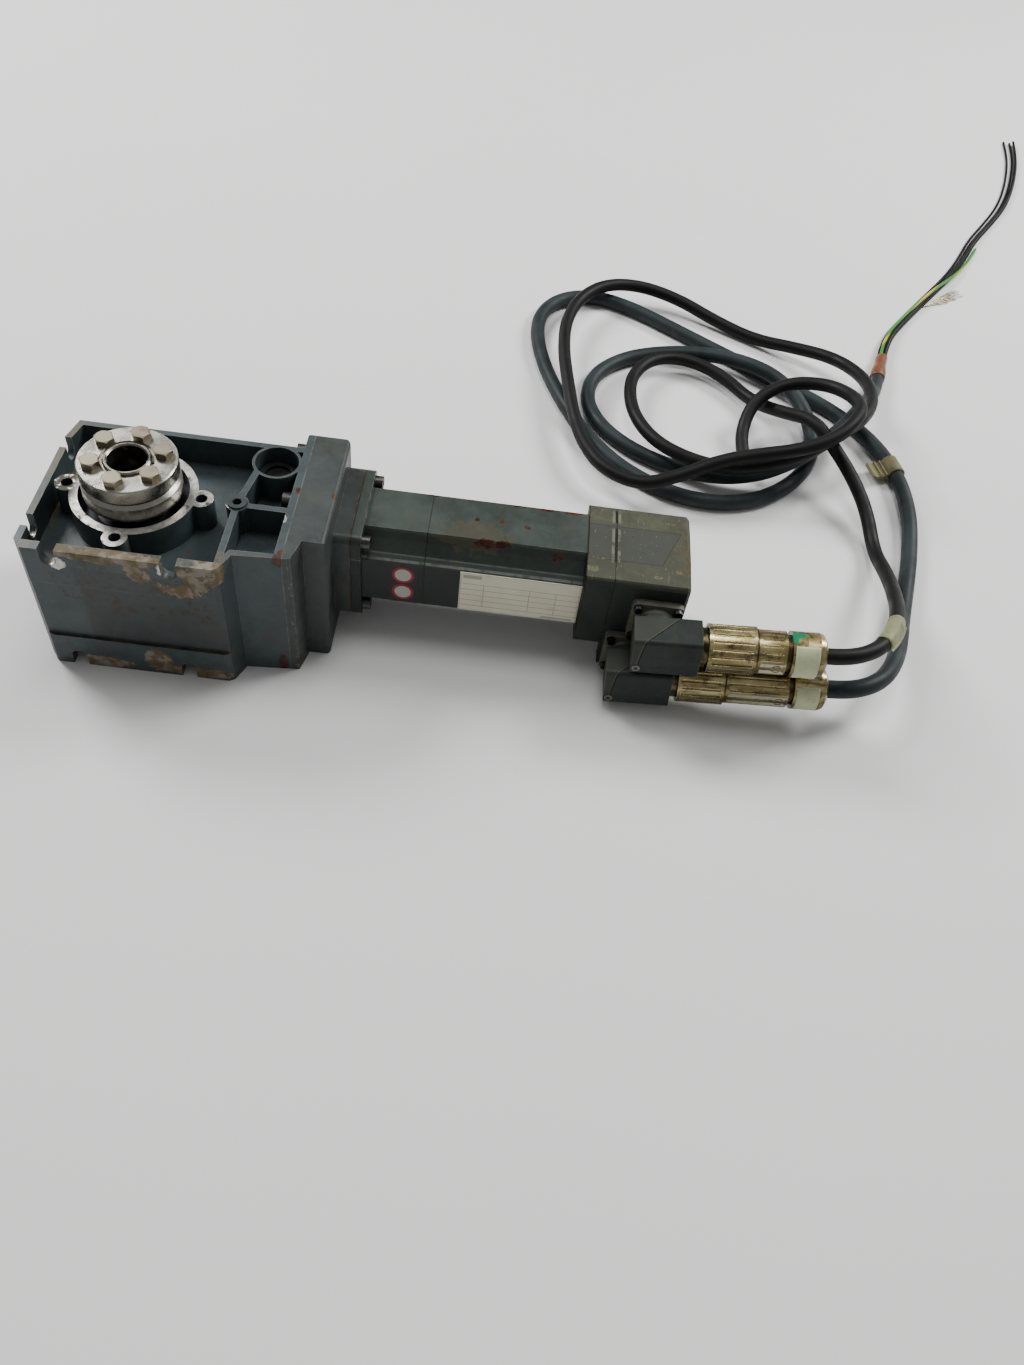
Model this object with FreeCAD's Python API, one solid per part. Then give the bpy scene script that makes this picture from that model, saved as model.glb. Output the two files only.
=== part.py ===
"""Right-angle servo geared motor with its two connector cables.

Millimetres. +Z is the hollow output shaft's axis and +X runs along the motor. The origin is on the
hollow shaft's axis at half the gearbox's height, which is also the height of the motor's axis.
The gear train runs: motor pinion, spur wheel, bevel pinion, bevel wheel, hollow shaft.
"""
import FreeCAD, Part
import math
import os

V = FreeCAD.Vector
X_AXIS, Y_AXIS, Z_AXIS = V(1, 0, 0), V(0, 1, 0), V(0, 0, 1)
AXES = {"X": X_AXIS, "Y": Y_AXIS, "Z": Z_AXIS}

# ---- gearbox casting ----
HALF_HEIGHT = 49.0          # housing from -HALF_HEIGHT to +HALF_HEIGHT; it stands on the floor there
LEFT = -52.0                # end wall's outer face
FRONT, BACK = -52.0, 54.0   # side walls' outer faces
PAD = 2.0                   # foot pads stand out of the front wall by this
PAD_END = 62.0              # the pads stop here, and the wall steps back
STEP_FRONT = -41.0          # front wall beside the input end
WALL = 4.0
WEB = 30.0                  # pocket floors lie at +-WEB
CAVITY = 27.0               # gear chamber from -CAVITY to +CAVITY
CHAMBER_R = 42.0            # round chamber of the bevel wheel
END_WALL = 87.5             # inner face of the input end's wall
JOINT = 92.0                # joint face between housing and input flange
RING_R, RING_BORE = 35.8, 31.0
LUG_PCD, LUG_R, LUG_HOLE_R = 76.8, 7.0, 3.4
FOOT_X, FOOT_Z, FOOT_R = 33.0, 41.5, 4.5
BOSS = (59.0, 0.0, 6.6)     # oil plug boss: x, y, radius
CUP = (73.8, 38.8, 14.6, 13.0)   # access cup: x, y, outer and inner radius
CUP_FLOOR = 33.0
CHAMFER_Y = 37.0            # the back left corner is cut off from here

# ---- output shaft and shrink disc ----
BORE_R = 11.0
SHAFT_R = 17.5              # at the bearings
NECK_R = 13.45              # under the shrink disc
SHAFT_TOP, SHAFT_BOTTOM = 73.4, -47.0
BEARING_OUT_R, BEARING_H = 31.0, 14.0
UPPER_BEARING, LOWER_BEARING = 17.0, -39.0     # lower faces
SEAL_H = 7.0
UPPER_SEAL, LOWER_SEAL = 33.0, -47.0
DISC_R, DISC_TOP = 27.6, 72.2
FRONT_RING_H, RING_GAP, REAR_RING_H = 9.3, 1.8, 11.0
DISC_BOLT_R, DISC_BOLT_PHASE = 19.8, 23.5
DISC_SLEEVE_R = 15.6        # outside of the slit inner ring, between shaft and taper rings

# ---- gears ----
PRESSURE = math.radians(20)
SPUR_M, MOTOR_TEETH, WHEEL_TEETH = 1.0, 22, 38
BEVEL_M, BEVEL_PINION_TEETH, BEVEL_WHEEL_TEETH = 2.0, 12, 36
SPUR_WIDTH = 10.0
BEVEL_FACE = 10.5
PLAY = 0.12                 # backlash taken off each tooth's thickness
HUB_TOP, HUB_BACK = 10.8, 24.0   # bevel wheel's hub, measured down from the pinion's axis
WHEEL_SEAT_R, KEY_WIDTH = 19.0, 5.0
EDGE = 0.8                  # small edge chamfer of the turned parts
FIT = 0.03                  # radial play between a shaft and its bearings
PINION_SHAFT_R = 10.0
PINION_BEARING_R = 23.5
PINION_BEARINGS = (44.0, 74.0)
SPUR_X, SPUR_BORE = 96.0, 8.0

# ---- motor ----
AXIS_Y = SPUR_M * (MOTOR_TEETH + WHEEL_TEETH) / 2     # 30, the spur pair's centre distance
FLANGE_X = 123.5            # face between input flange and motor
FLANGE_HALF, FLANGE_T = 33.3, 6.5
BODY_HALF, BODY_FLAT, BODY_NOTCH = 31.0, 16.6, (19.7, 25.8)
SHIELD_END, STATOR_END = 168.0, 264.3
REAR_JOINT, REAR_END = 281.8, 327.7
REAR_FRONT, REAR_BACK, REAR_HALF = -6.2, 60.0, 30.4
FLANGE_BOLT = 26.5          # half spacing of the M5 screws, 75 mm bolt circle
PILOT_R = 30.0
ROTOR_SHAFT_R = 8.5
MOTOR_BEARING = (20.0, 12.0)     # outer radius and width
MOTOR_BEARINGS = (146.0, 270.0)

COVER_WALL = 4.0            # rear cover over the resolver
SKIRT = (316.0, -46.0, -20.0)    # wall behind the lower socket: its end in x, its range in z
STACK_LOW, STACK_HIGH = SHIELD_END + 16.0, STATOR_END - 16.0     # laminations
STACK_R, SLOT_R, STACK_BORE = 28.0, 24.0, 16.0
ROTOR_CORE_R, ROTOR_CORE_BORE, MAGNET_R = 13.2, 10.5, 15.4
SLOTS, POLES, OVERHANG = 12, 6, 10.5
SHAFT_NOSE_R, SHAFT_TAIL_R, SHAFT_TAIL_END = 5.5, 5.0, 304.0
RESOLVER = (286.0, 298.0, 18.0, 11.0)     # start, end, outer and inner radius of its stator
PLATE_X, LABEL_X, PLATE_HALF = (190.0, 264.0), (147.0, 164.0), 16.5

# ---- connectors: x and z of each socket's axis, length of the plug's body ----
OUTLET_Y = -26.6
SOCKETS = {"feedback": (310.3, 2.1, 17.2), "power": (299.0, -29.4, 38.5)}
SWIVEL = 4.0                # the elbows are turned on their bases so that the plugs point up by this
SOCKET_HALF, SOCKET_T, SOCKET_SCREW = 15.5, 4.5, 12.15
SEAT_R, SEAT_T, SOCKET_BORE = 12.8, 3.0, 8.0
ELBOW_Z, ELBOW_LEFT, ELBOW_RIGHT, ELBOW_FRONT = 14.0, 13.3, 27.0, 13.4
ELBOW_LEAN = 1.6            # the upper half of the elbow's front leans back by this at its top
SPIGOT_R, COLLAR_R, ELBOW_BORE = 10.8, 12.0, 8.5
COLLAR_L, RING_L = 4.0, 28.5
PINS, PIN_R, PIN_CIRCLE = 8, 0.8, 5.0
COUPLING_R, PLUG_R, PLUG_NECK_R, NUT_R = 14.7, 13.4, 11.4, 13.9
THREAD_R, NOSE_R, NOSE_BORE, PLUG_GAP = 12.3, 10.5, 7.0, 0.4
NECK_L, NUT_L, NUT_FLAT, NUT_FLAT_L, GROMMET_L = 3.0, 21.0, 13.2, 9.0, 8.0
FLUTES, FLUTE_END = 20, 2.2

# ---- cables and what is on them ----
POWER_R, FEEDBACK_R, CORE_R = 5.75, 5.0, 1.3
ARC_SHARE = 0.45            # share of the shorter run that a corner's arc takes
SHRINK_R, SHRINK_TIP_R, SHRINK_OVER, SHRINK_L = 6.3, 4.9, 8.0, 26.0
TAG_AT, TAG_BORE, TAG_R, TAG_L = 11, 6.3, 7.3, 14.0    # tag at the middle of this run of the power cable
TAG_FLAG = (16.0, 3.4)      # the flag's reach from the cable's centre, and its thickness
CAP_R, CAP_OVER, CAP_L = 5.6, 7.0, 13.0   # closed cap on the feedback cable's far end
LABEL_EDGES, LABEL_R = (6, 11), 5.6      # stretch of the feedback cable's path that the label covers
CORE_PLACES = ((-2.8, 0.0), (0.0, 0.0), (2.8, 0.0), (1.4, 2.42))     # across and above the bundle's line

# Centre lines as (x, y, z). A cable on the floor lies its own radius above -HALF_HEIGHT.
POWER_ROUTE = [
    (421.1, -26.6, -20.9), (432.5, -26.6, -20.1), (445, -23, -20.4), (457, -15, -22.2),
    (467, -2.5, -25.6), (475.5, 14, -30), (483, 35, -35.5), (490, 61, -40.5), (499, 94, -43.25),
    (507, 130, -43.25), (512, 167, -42.25), (510, 203, -41.55), (501, 233, -41.55), (487, 259, -42.25),
    (467, 282, -43.25), (442, 301, -43.25), (410, 322, -43.25), (372, 346, -43.25), (334, 371, -43.25),
    (299, 393, -43.25), (267, 403, -43.25), (238, 392, -43.25), (222, 365, -43.25), (222, 330, -43.25),
    (232, 289, -43.25), (248, 250, -43.25), (267, 214, -43.25), (292, 184, -43.25), (324, 163, -43.25),
    (358, 155, -43.25), (392, 162, -43.25), (421, 183, -43.25), (440, 212, -43.25), (447, 246, -43.25),
    (440, 278, -38.25), (421, 303, -32.25), (393, 321, -33.25), (360, 332, -38.25), (326, 333, -43.25),
    (294, 318, -43.25), (271, 292, -43.25), (265, 259, -43.25), (277, 228, -43.25), (302, 204, -43.25),
    (335, 189, -43.25), (367, 181, -40.25), (397, 184, -35.25), (423, 197, -29.25), (446, 219, -28.25),
    (467, 247, -28.25), (487, 279, -29.25), (499, 303, -37.2), (506, 322, -42.6),
    (511, 341, -42.6),
]
FEEDBACK_ROUTE = [
    (411.2, -26.6, 9.2), (422.5, -26.6, 10), (435, -23, 10.2), (446.5, -15, 9.2), (456, -2.5, 6.6),
    (464, 14, 1.8), (470.5, 35, -6), (475.5, 61, -17), (479, 92, -30), (480, 126, -44), (476, 157, -35),
    (466, 183, -27), (452, 205, -19), (436, 226, -11), (419, 250, -26), (399, 279, -41),
    (377, 305, -39), (349, 321, -38), (320, 315, -36), (302, 290, -35), (298, 258, -33),
    (304, 226, -32), (320, 199, -30), (345, 182, -28), (374, 176, -27), (404, 179, -20),
    (432, 190, -11), (457, 208, -3), (477, 236, -8), (488, 271, -14), (485, 307, -22), (468, 336, -29),
    (440, 355, -37), (407, 370, -44), (374, 387, -42), (341, 405, -37), (307, 412, -33),
    (276, 401, -29), (254, 375, -29), (244, 339, -29), (244, 300, -29), (249, 261, -29),
    (255, 223, -30), (264, 188, -30), (281, 161, -30), (309, 150, -30), (337, 159, -23),
    (363, 171, -16), (391, 176, -10), (419, 178, -3), (446, 189, 4), (464, 212, 11), (465, 242, 2),
    (449, 267, -7), (421, 274, -15), (396, 260, -24), (387, 236, -37), (389, 214, -43.3),
    (391, 200, -43.3),
]
CORE_ROUTE = [
    (517.62, 366.14, -43.6), (522.1, 383.1, -43.6), (532, 408, -46.3), (547, 433, -47.7), (564, 459, -47.7),
    (582, 486, -47.7), (603, 517, -47.7), (622, 551, -47.7), (640, 590, -47.7), (663, 627, -47.7),
    (685, 665, -47.7), (701, 704, -47.7), (714, 746, -47.7), (723, 784, -47.7), (727, 818, -47.7),
]
EARTH_ROUTE = [
    (516.27, 366.5, -41.18), (520.7, 383.5, -41.2), (530.6, 408.4, -43.8), (545.7, 433.3, -44.6),
    (563.6, 459.1, -42.7), (583.5, 485.6, -42.1), (607.8, 515.7, -44.3), (628.4, 549.3, -47.7),
    (641, 576.6, -47.7),
]


def box(x0, x1, y0, y1, z0, z1):
    return Part.makeBox(x1 - x0, y1 - y0, z1 - z0, V(x0, y0, z0))


def cyl(axis, a, b, r, start, end):
    """Cylinder along an axis; a and b are its centre's other two coordinates in X, Y, Z order."""
    base = {"X": V(start, a, b), "Y": V(a, start, b), "Z": V(a, b, start)}[axis]
    return Part.makeCylinder(r, end - start, base, AXES[axis])


def ring(axis, a, b, outer, inner, start, end):
    return cyl(axis, a, b, outer, start, end).cut(cyl(axis, a, b, inner, start, end))


def right_way_out(solid):
    """A face swept against its own normal gives a solid with its skin inside out."""
    if solid.Volume < 0:
        solid.reverse()
    return solid


def prism(points, axis, start, end):
    """Closed outline of (u, v) points swept along an axis; u, v are the other two, in X, Y, Z order."""
    place = {"X": lambda u, v: V(start, u, v), "Y": lambda u, v: V(u, start, v),
             "Z": lambda u, v: V(u, v, start)}[axis]
    wire = Part.makePolygon([place(u, v) for u, v in points + points[:1]])
    return right_way_out(Part.Face(wire).extrude(AXES[axis] * (end - start)))


def turned(profile, a=0.0, b=0.0, axis="Z"):
    """Solid of revolution from (radius, position along the axis) points."""
    place = {"X": lambda r, s: V(s, a, b + r), "Y": lambda r, s: V(a + r, s, b),
             "Z": lambda r, s: V(a + r, b, s)}[axis]
    wire = Part.makePolygon([place(r, s) for r, s in profile + profile[:1]])
    centre = {"X": V(0, a, b), "Y": V(a, 0, b), "Z": V(a, b, 0)}[axis]
    return right_way_out(Part.Face(wire).revolve(centre, AXES[axis], 360))


def union(shapes):
    return shapes[0].multiFuse(shapes[1:]).removeSplitter()


def minus(base, tools):
    return base.cut(Part.makeCompound(tools)) if tools else base


def hexagon(axis, a, b, flats, start, end):
    r = flats / math.sqrt(3)
    points = [(a + r * math.cos(math.radians(60 * k)), b + r * math.sin(math.radians(60 * k)))
              for k in range(6)]
    return prism(points, axis, start, end)


def rounded_square(half_u, half_v, r, axis, a, b, start, end):
    """Rectangular bar about (a, b) with its long edges rounded by r."""
    points = [(a - half_u, b - half_v), (a + half_u, b - half_v), (a + half_u, b + half_v),
              (a - half_u, b + half_v)]
    bar = prism(points, axis, start, end)
    along = [e for e in bar.Edges if abs(e.tangentAt(e.FirstParameter).dot(AXES[axis])) > 0.99]
    return bar.makeFillet(r, along)


def socket_screw(axis, a, b, seat, head, shank, direction=1):
    """Cap screw: head and shank are (radius, length); the head stands on the seat away from direction."""
    head_r, head_l = head
    shank_r, shank_l = shank
    low, high = sorted((seat, seat - direction * head_l))
    body = cyl(axis, a, b, head_r, low, high)
    low, high = sorted((seat, seat + direction * shank_l))
    body = body.fuse(cyl(axis, a, b, shank_r, low, high))
    tip = seat - direction * head_l
    low, high = sorted((tip, tip + direction * head_l * 0.55))
    return body.cut(hexagon(axis, a, b, head_r, low, high))


def save(name, shape):
    shapes = shape if isinstance(shape, list) else [shape]
    solids = [s for one in shapes for s in one.Solids]
    for s in solids:
        if not s.isValid() or s.Volume <= 0:
            print("BAD", name, s.isValid(), s.Volume)
    whole = solids[0] if len(solids) == 1 else Part.makeCompound(solids)
    whole.exportStep(os.path.join("parts", name + ".step"))


# ---------------------------------------------------------------- gearbox

def lug_places():
    for k in range(4):
        turn = math.radians(90 * k)
        yield LUG_PCD / 2 * math.cos(turn), LUG_PCD / 2 * math.sin(turn)


def flange_screw_places():
    return [(y, z) for y in (16.5, 60.5) for z in (-40.0, 40.0)]


def housing_block():
    """Outer block with its foot pads, the wall of the input end and its flange plate."""
    plan = [(LEFT, FRONT + 4), (LEFT + 4, FRONT), (PAD_END - 2, FRONT), (PAD_END + 3, STEP_FRONT),
            (JOINT, STEP_FRONT + 2), (JOINT, BACK), (LEFT + 4, BACK), (LEFT, CHAMFER_Y)]
    parts = [prism(plan, "Z", -HALF_HEIGHT, HALF_HEIGHT)]
    pad = [(LEFT + 3, FRONT), (LEFT + 5, FRONT - PAD), (PAD_END - 5, FRONT - PAD), (PAD_END - 2, FRONT)]
    for low, high in ((-HALF_HEIGHT, -24.0), (22.0, HALF_HEIGHT)):
        parts.append(prism(pad, "Z", low, high))
    plate = [(END_WALL, 0), (JOINT, 0), (JOINT, 66.7), (END_WALL + 1, 66.7), (END_WALL, 65.7)]
    parts.append(prism(plate, "Z", -HALF_HEIGHT, HALF_HEIGHT))
    return union(parts)


def housing_pockets(sign):
    """What is hollowed out of one face, less the ribs and bosses that stay in it."""
    plan = [(LEFT + WALL, FRONT + WALL), (PAD_END - 4, FRONT + WALL), (PAD_END + 1, STEP_FRONT + WALL),
            (END_WALL, STEP_FRONT + WALL + 1), (END_WALL, BACK - WALL), (LEFT + WALL + 3, BACK - WALL),
            (LEFT + WALL, CHAMFER_Y)]
    low, high = sorted((sign * WEB, sign * (HALF_HEIGHT + 1)))
    pocket = prism(plan, "Z", low, high)
    bx, by, br = BOSS
    cx, cy, c_out, _ = CUP
    stay = [cyl("Z", 0, 0, RING_R, low, high), cyl("Z", bx, by, br, low, high),
            cyl("Z", cx, cy, c_out, low, high)]
    stay += [cyl("Z", x, y, LUG_R, low, high) for x, y in lug_places()]
    stay += [box(bx - 2, bx + 2, FRONT, by, low, high), box(bx, END_WALL, -3, 1, low, high)]
    diagonal = [(bx - 2, by), (bx + 2, by), (cx - 6, cy), (cx - 10, cy)]
    stay.append(prism(diagonal, "Z", low, high))
    return minus(pocket, stay)


def housing_bores():
    """Chamber, bearing seats, tapped and plain holes."""
    bx, by, _ = BOSS
    cx, cy, _, c_in = CUP
    tools = [cyl("Z", 0, 0, CHAMBER_R, -CAVITY, 16.5)]
    tools.append(cyl("Z", 0, 0, RING_BORE, -HALF_HEIGHT, HALF_HEIGHT))
    tools += [cyl("X", 0, 0, PINION_BEARING_R, 20.0, JOINT), cyl("X", AXIS_Y, 0, 15.0, SPUR_X - 6, JOINT)]
    for x, y in lug_places():
        for low, high in ((HALF_HEIGHT - 13, HALF_HEIGHT), (-HALF_HEIGHT, 13 - HALF_HEIGHT)):
            tools.append(cyl("Z", x, y, LUG_HOLE_R, low, high))
    for sx in (-1, 1):
        for sz in (-1, 1):
            x, z = sx * FOOT_X, sz * FOOT_Z
            low, high = sorted((z, sz * (HALF_HEIGHT + 1)))
            tools.append(cyl("Y", x, z, FOOT_R, FRONT - PAD, FRONT + WALL))
            tools.append(box(x - FOOT_R, x + FOOT_R, FRONT - PAD, FRONT + WALL, low, high))
            y, r = x, FOOT_R
            tools.append(cyl("X", y, z, r, LEFT, LEFT + WALL))
            tools.append(box(LEFT, LEFT + WALL, y - r, y + r, low, high))
    tools.append(cyl("Z", cx, cy, c_in, CUP_FLOOR, HALF_HEIGHT))
    tools.append(cyl("Z", cx, cy, c_in, -HALF_HEIGHT, -CUP_FLOOR))
    tools.append(cyl("Z", bx, by, 4.0, WEB, HALF_HEIGHT))
    tools += [cyl("X", y, z, 3.3, END_WALL, JOINT) for y, z in flange_screw_places()]
    return tools


def gear_housing():
    shell = minus(housing_block(), [housing_pockets(1), housing_pockets(-1)])
    return minus(shell, housing_bores())


def input_flange():
    """Plate on the housing's end, stepping down to the motor's square."""
    plate = [(JOINT, STEP_FRONT + 2), (97.0, STEP_FRONT + 2.5), (100.5, -23.6), (113.6, -23.6),
             (113.6, 66.7), (JOINT, 66.7)]
    body = prism(plate, "Z", -HALF_HEIGHT, HALF_HEIGHT)
    corners = [e for e in body.Edges if e.Length > 90 and e.Vertexes[0].X > 110]
    body = body.makeFillet(3.0, corners)
    neck = rounded_square(FLANGE_HALF, FLANGE_HALF, 6.0, "X", AXIS_Y, 0, 112.0, FLANGE_X)
    body = union([body, neck])
    tools = [cyl("X", 0, 0, 21.0, JOINT, 110.0), cyl("X", AXIS_Y, 0, 15.0, JOINT, 114.0),
             cyl("X", AXIS_Y, 0, 12.0, 114.0, FLANGE_X)]
    tools.append(cyl("X", AXIS_Y, 0, PILOT_R, FLANGE_X - 3, FLANGE_X))
    tools += [cyl("X", y, z, 3.0, JOINT, JOINT + 14) for y, z in flange_screw_places()]
    for y, z in motor_screw_places():
        tools.append(cyl("X", y, z, 2.5, FLANGE_X - 10, FLANGE_X))
    return minus(body, tools)


def input_flange_screws():
    return [socket_screw("X", y, z, END_WALL, (5.0, 6.0), (3.0, 16.0)) for y, z in flange_screw_places()]


def hollow_shaft():
    top = SHAFT_TOP
    seat, shoulder = WHEEL_SEAT_R, WHEEL_SEAT_R + 2.5
    outer = [(BORE_R, SHAFT_BOTTOM), (SHAFT_R, SHAFT_BOTTOM), (SHAFT_R, -HUB_BACK), (seat, -HUB_BACK),
             (seat, -HUB_TOP), (shoulder, -HUB_TOP), (shoulder, 3.0 - HUB_TOP), (seat, 3.0 - HUB_TOP),
             (seat, UPPER_BEARING), (SHAFT_R, UPPER_BEARING), (SHAFT_R, 41.0), (NECK_R, 45.0),
             (NECK_R, top - EDGE), (NECK_R - EDGE, top), (BORE_R + EDGE, top), (BORE_R, top - EDGE)]
    return turned(outer).cut(wheel_key())


def wheel_key():
    half = KEY_WIDTH / 2
    return box(WHEEL_SEAT_R - half, WHEEL_SEAT_R + half, -half, half, 1.0 - HUB_BACK, -HUB_TOP - 3.2)


def rolling_bearing(axis, a, b, outer, inner, start, width):
    """Outer race, inner race and a row of balls between them."""
    race = (outer - inner) * 0.28
    middle, ball = (outer + inner) / 2, (outer - inner) * 0.27
    parts = [ring(axis, a, b, outer, outer - race, start, start + width),
             ring(axis, a, b, inner + race, inner, start, start + width)]
    count = int(2 * math.pi * middle / (ball * 2.8))
    half = start + width / 2
    torus_dir = AXES[axis]
    centre = {"X": V(half, a, b), "Y": V(a, half, b), "Z": V(a, b, half)}[axis]
    groove = Part.makeTorus(middle, ball + 0.05, centre, torus_dir)
    parts = [p.cut(groove) for p in parts]
    for k in range(count):
        turn = 2 * math.pi * k / count
        u, v = middle * math.cos(turn), middle * math.sin(turn)
        place = {"X": V(half, a + u, b + v), "Y": V(a + u, half, b + v), "Z": V(a + u, b + v, half)}[axis]
        parts.append(Part.makeSphere(ball, place))
    return parts


def shaft_seal(axis, a, b, outer, inner, start, width):
    """Lip seal: a ring whose outer half is thick and whose lip narrows towards the shaft."""
    middle = inner + (outer - inner) * 0.45
    outline = [(outer, start), (outer, start + width), (middle, start + width),
               (middle, start + width * 0.45), (inner, start + width * 0.6),
               (inner, start + width * 0.15), (middle, start)]
    return turned(outline, a, b, axis)


def taper_ring(outer, low, high, chamfered):
    inner = DISC_SLEEVE_R
    outline = [(inner, low), (outer - 0.8, low), (outer, low + 0.8), (outer, high - chamfered),
               (outer - chamfered, high), (inner, high)]
    return turned(outline)


def disc_bolt_places():
    for k in range(6):
        turn = math.radians(DISC_BOLT_PHASE + 60 * k)
        yield DISC_BOLT_R * math.cos(turn), DISC_BOLT_R * math.sin(turn)


def shrink_disc():
    front_low = DISC_TOP - FRONT_RING_H
    rear_high = front_low - RING_GAP
    holes = [cyl("Z", x, y, 3.1, rear_high - REAR_RING_H, DISC_TOP) for x, y in disc_bolt_places()]
    front = minus(taper_ring(DISC_R, front_low, DISC_TOP, 0.6), holes)
    rear = minus(taper_ring(DISC_R + 0.2, rear_high - REAR_RING_H, rear_high, 2.0), holes)
    sleeve = ring("Z", 0, 0, DISC_SLEEVE_R, NECK_R, rear_high - REAR_RING_H + 0.5, DISC_TOP - 0.9)
    slit = box(0, DISC_SLEEVE_R + 1, -0.6, 0.6, rear_high - REAR_RING_H, DISC_TOP)
    return front, rear, sleeve.cut(slit)


def disc_bolts():
    bolts = []
    for x, y in disc_bolt_places():
        head = hexagon("Z", x, y, 10.0, DISC_TOP, DISC_TOP + 4.0)
        cone = turned([(0, DISC_TOP), (6.2, DISC_TOP), (6.2, DISC_TOP + 3.1), (4.7, DISC_TOP + 4.0),
                       (0, DISC_TOP + 4.0)], x, y)
        shank = cyl("Z", x, y, 3.0, DISC_TOP - FRONT_RING_H - RING_GAP - REAR_RING_H + 1, DISC_TOP)
        bolts.append(head.common(cone).fuse(shank))
    return bolts


# ---------------------------------------------------------------- gears

def involute(base, radius):
    """Polar angle of a flat involute at a radius."""
    ratio = math.acos(base / radius)
    return math.tan(ratio) - ratio


def spur_tooth(teeth, clearance=0.25):
    """One tooth's outline about +X, standing on the root circle."""
    pitch = SPUR_M * teeth / 2
    base, tip, root = pitch * math.cos(PRESSURE), pitch + SPUR_M, pitch - (1 + clearance) * SPUR_M
    half = math.pi / (2 * teeth) - PLAY / (2 * pitch) + involute(base, pitch)
    low = max(base, root) * 1.0005
    radii = [low + (tip - low) * k / 4 for k in range(5)]
    flank = [(r, half - involute(base, r)) for r in radii]
    upper = [V(r * math.cos(t), r * math.sin(t), 0) for r, t in flank]
    lower = [V(p.x, -p.y, 0) for p in upper]
    foot_t = flank[0][1]
    foot = V((root - 0.3) * math.cos(foot_t), (root - 0.3) * math.sin(foot_t), 0)
    edges = []
    for side in (upper, lower):
        curve = Part.BSplineCurve()
        curve.interpolate(side)
        edges.append(curve.toShape())
    edges.append(Part.Arc(upper[-1], V(tip, 0, 0), lower[-1]).toShape())
    foot_low = V(foot.x, -foot.y, 0)
    corners = [upper[0], foot, foot_low, lower[0]]
    edges += [Part.makeLine(a, b) for a, b in zip(corners, corners[1:])]
    return Part.Face(Part.Wire(Part.__sortEdges__(edges))), root


def spur_gear(teeth, width, phase=0.0):
    """Spur gear on the Z axis from 0 to width, with a tooth at the phase angle in degrees."""
    face, root = spur_tooth(teeth)
    tooth = face.extrude(V(0, 0, width))
    parts = [Part.makeCylinder(root, width)]
    for k in range(teeth):
        copy = tooth.copy()
        copy.rotate(V(0, 0, 0), Z_AXIS, phase + 360.0 * k / teeth)
        parts.append(copy)
    return parts[0].multiFuse(parts[1:])


def along_x(shape, x, y):
    """Turn a shape built along +Z to lie along +X, its own X axis pointing along +Y."""
    shape.Placement = FreeCAD.Placement(V(x, y, 0), FreeCAD.Rotation(V(1, 1, 1), 120))
    return shape


def spherical_half_angle(teeth, cone, theta):
    """Half of a bevel tooth's angle about its axis, at polar angle theta, from the spherical involute."""
    base = math.asin(math.sin(cone) * math.cos(PRESSURE))

    def polar(t):
        psi = math.acos(min(1.0, math.cos(t) / math.cos(base)))
        return psi / math.sin(base) - math.acos(min(1.0, math.tan(base) / math.tan(t)))

    heel = heel_distance()
    slack = PLAY / (2 * heel * math.sin(cone))
    return math.pi / (2 * teeth) - slack + polar(cone) - polar(theta)


def heel_distance():
    return BEVEL_M * BEVEL_WHEEL_TEETH / 2 / math.sin(bevel_cones()[1])


def bevel_cones():
    pinion = math.atan(BEVEL_PINION_TEETH / BEVEL_WHEEL_TEETH)
    return pinion, math.pi / 2 - pinion


def bevel_tooth(teeth, cone):
    """Cone-shaped tooth from near the apex outwards, symmetric about the XZ plane; axis +Z, apex at 0."""
    heel = heel_distance()
    addendum, dedendum = math.atan(BEVEL_M / heel), math.atan(1.2 * BEVEL_M / heel)
    base = math.asin(math.sin(cone) * math.cos(PRESSURE))
    low, high = max(base + 0.0008, cone - dedendum), cone + addendum
    thetas = [low + (high + 0.01 - low) * k / 5 for k in range(6)]
    flank = [(t, spherical_half_angle(teeth, cone, t)) for t in thetas]
    root = cone - dedendum - 0.02
    upper = [(root, flank[0][1])] + flank
    middle = V(math.sin(cone), 0, math.cos(cone))

    def on_plane(theta, phi, far):
        ray = V(math.sin(theta) * math.cos(phi), math.sin(theta) * math.sin(phi), math.cos(theta))
        return ray * (far / ray.dot(middle))

    def outline(far):
        sides = []
        for sign in (1, -1):
            points = [on_plane(t, sign * p, far) for t, p in upper[1:]]
            curve = Part.BSplineCurve()
            curve.interpolate(points)
            sides.append((on_plane(upper[0][0], sign * upper[0][1], far), points, curve.toShape()))
        (foot_a, a, curve_a), (foot_b, b, curve_b) = sides
        edges = [Part.makeLine(foot_a, a[0]), curve_a, Part.makeLine(a[-1], b[-1]), curve_b,
                 Part.makeLine(b[0], foot_b), Part.makeLine(foot_b, foot_a)]
        return Part.Wire(Part.__sortEdges__(edges))

    return right_way_out(Part.makeLoft([outline(heel * 0.5), outline(heel * 1.25)], True, True))


def bevel_gear(teeth, cone, face, phase):
    """Straight bevel gear, apex at the origin, axis +Z, a tooth at the phase angle.

    Returns its teeth and its rim."""
    heel = heel_distance()
    addendum, dedendum = math.atan(BEVEL_M / heel), math.atan(1.2 * BEVEL_M / heel)

    def at(theta, distance):
        return distance * math.sin(theta), distance * math.cos(theta)

    toe = heel - face
    tip, root, deep = cone + addendum, cone - dedendum, cone - dedendum - 0.05
    back = heel / math.cos(addendum)
    blank = turned([at(deep, toe), at(tip, toe), at(tip, back), at(deep, back)])
    tooth = bevel_tooth(teeth, cone).common(blank)
    rim = [at(root, toe), at(root, heel)]
    parts = []
    for k in range(teeth):
        copy = tooth.copy()
        copy.rotate(V(0, 0, 0), Z_AXIS, phase + 360.0 * k / teeth)
        parts.append(copy)
    return parts, rim


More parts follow.
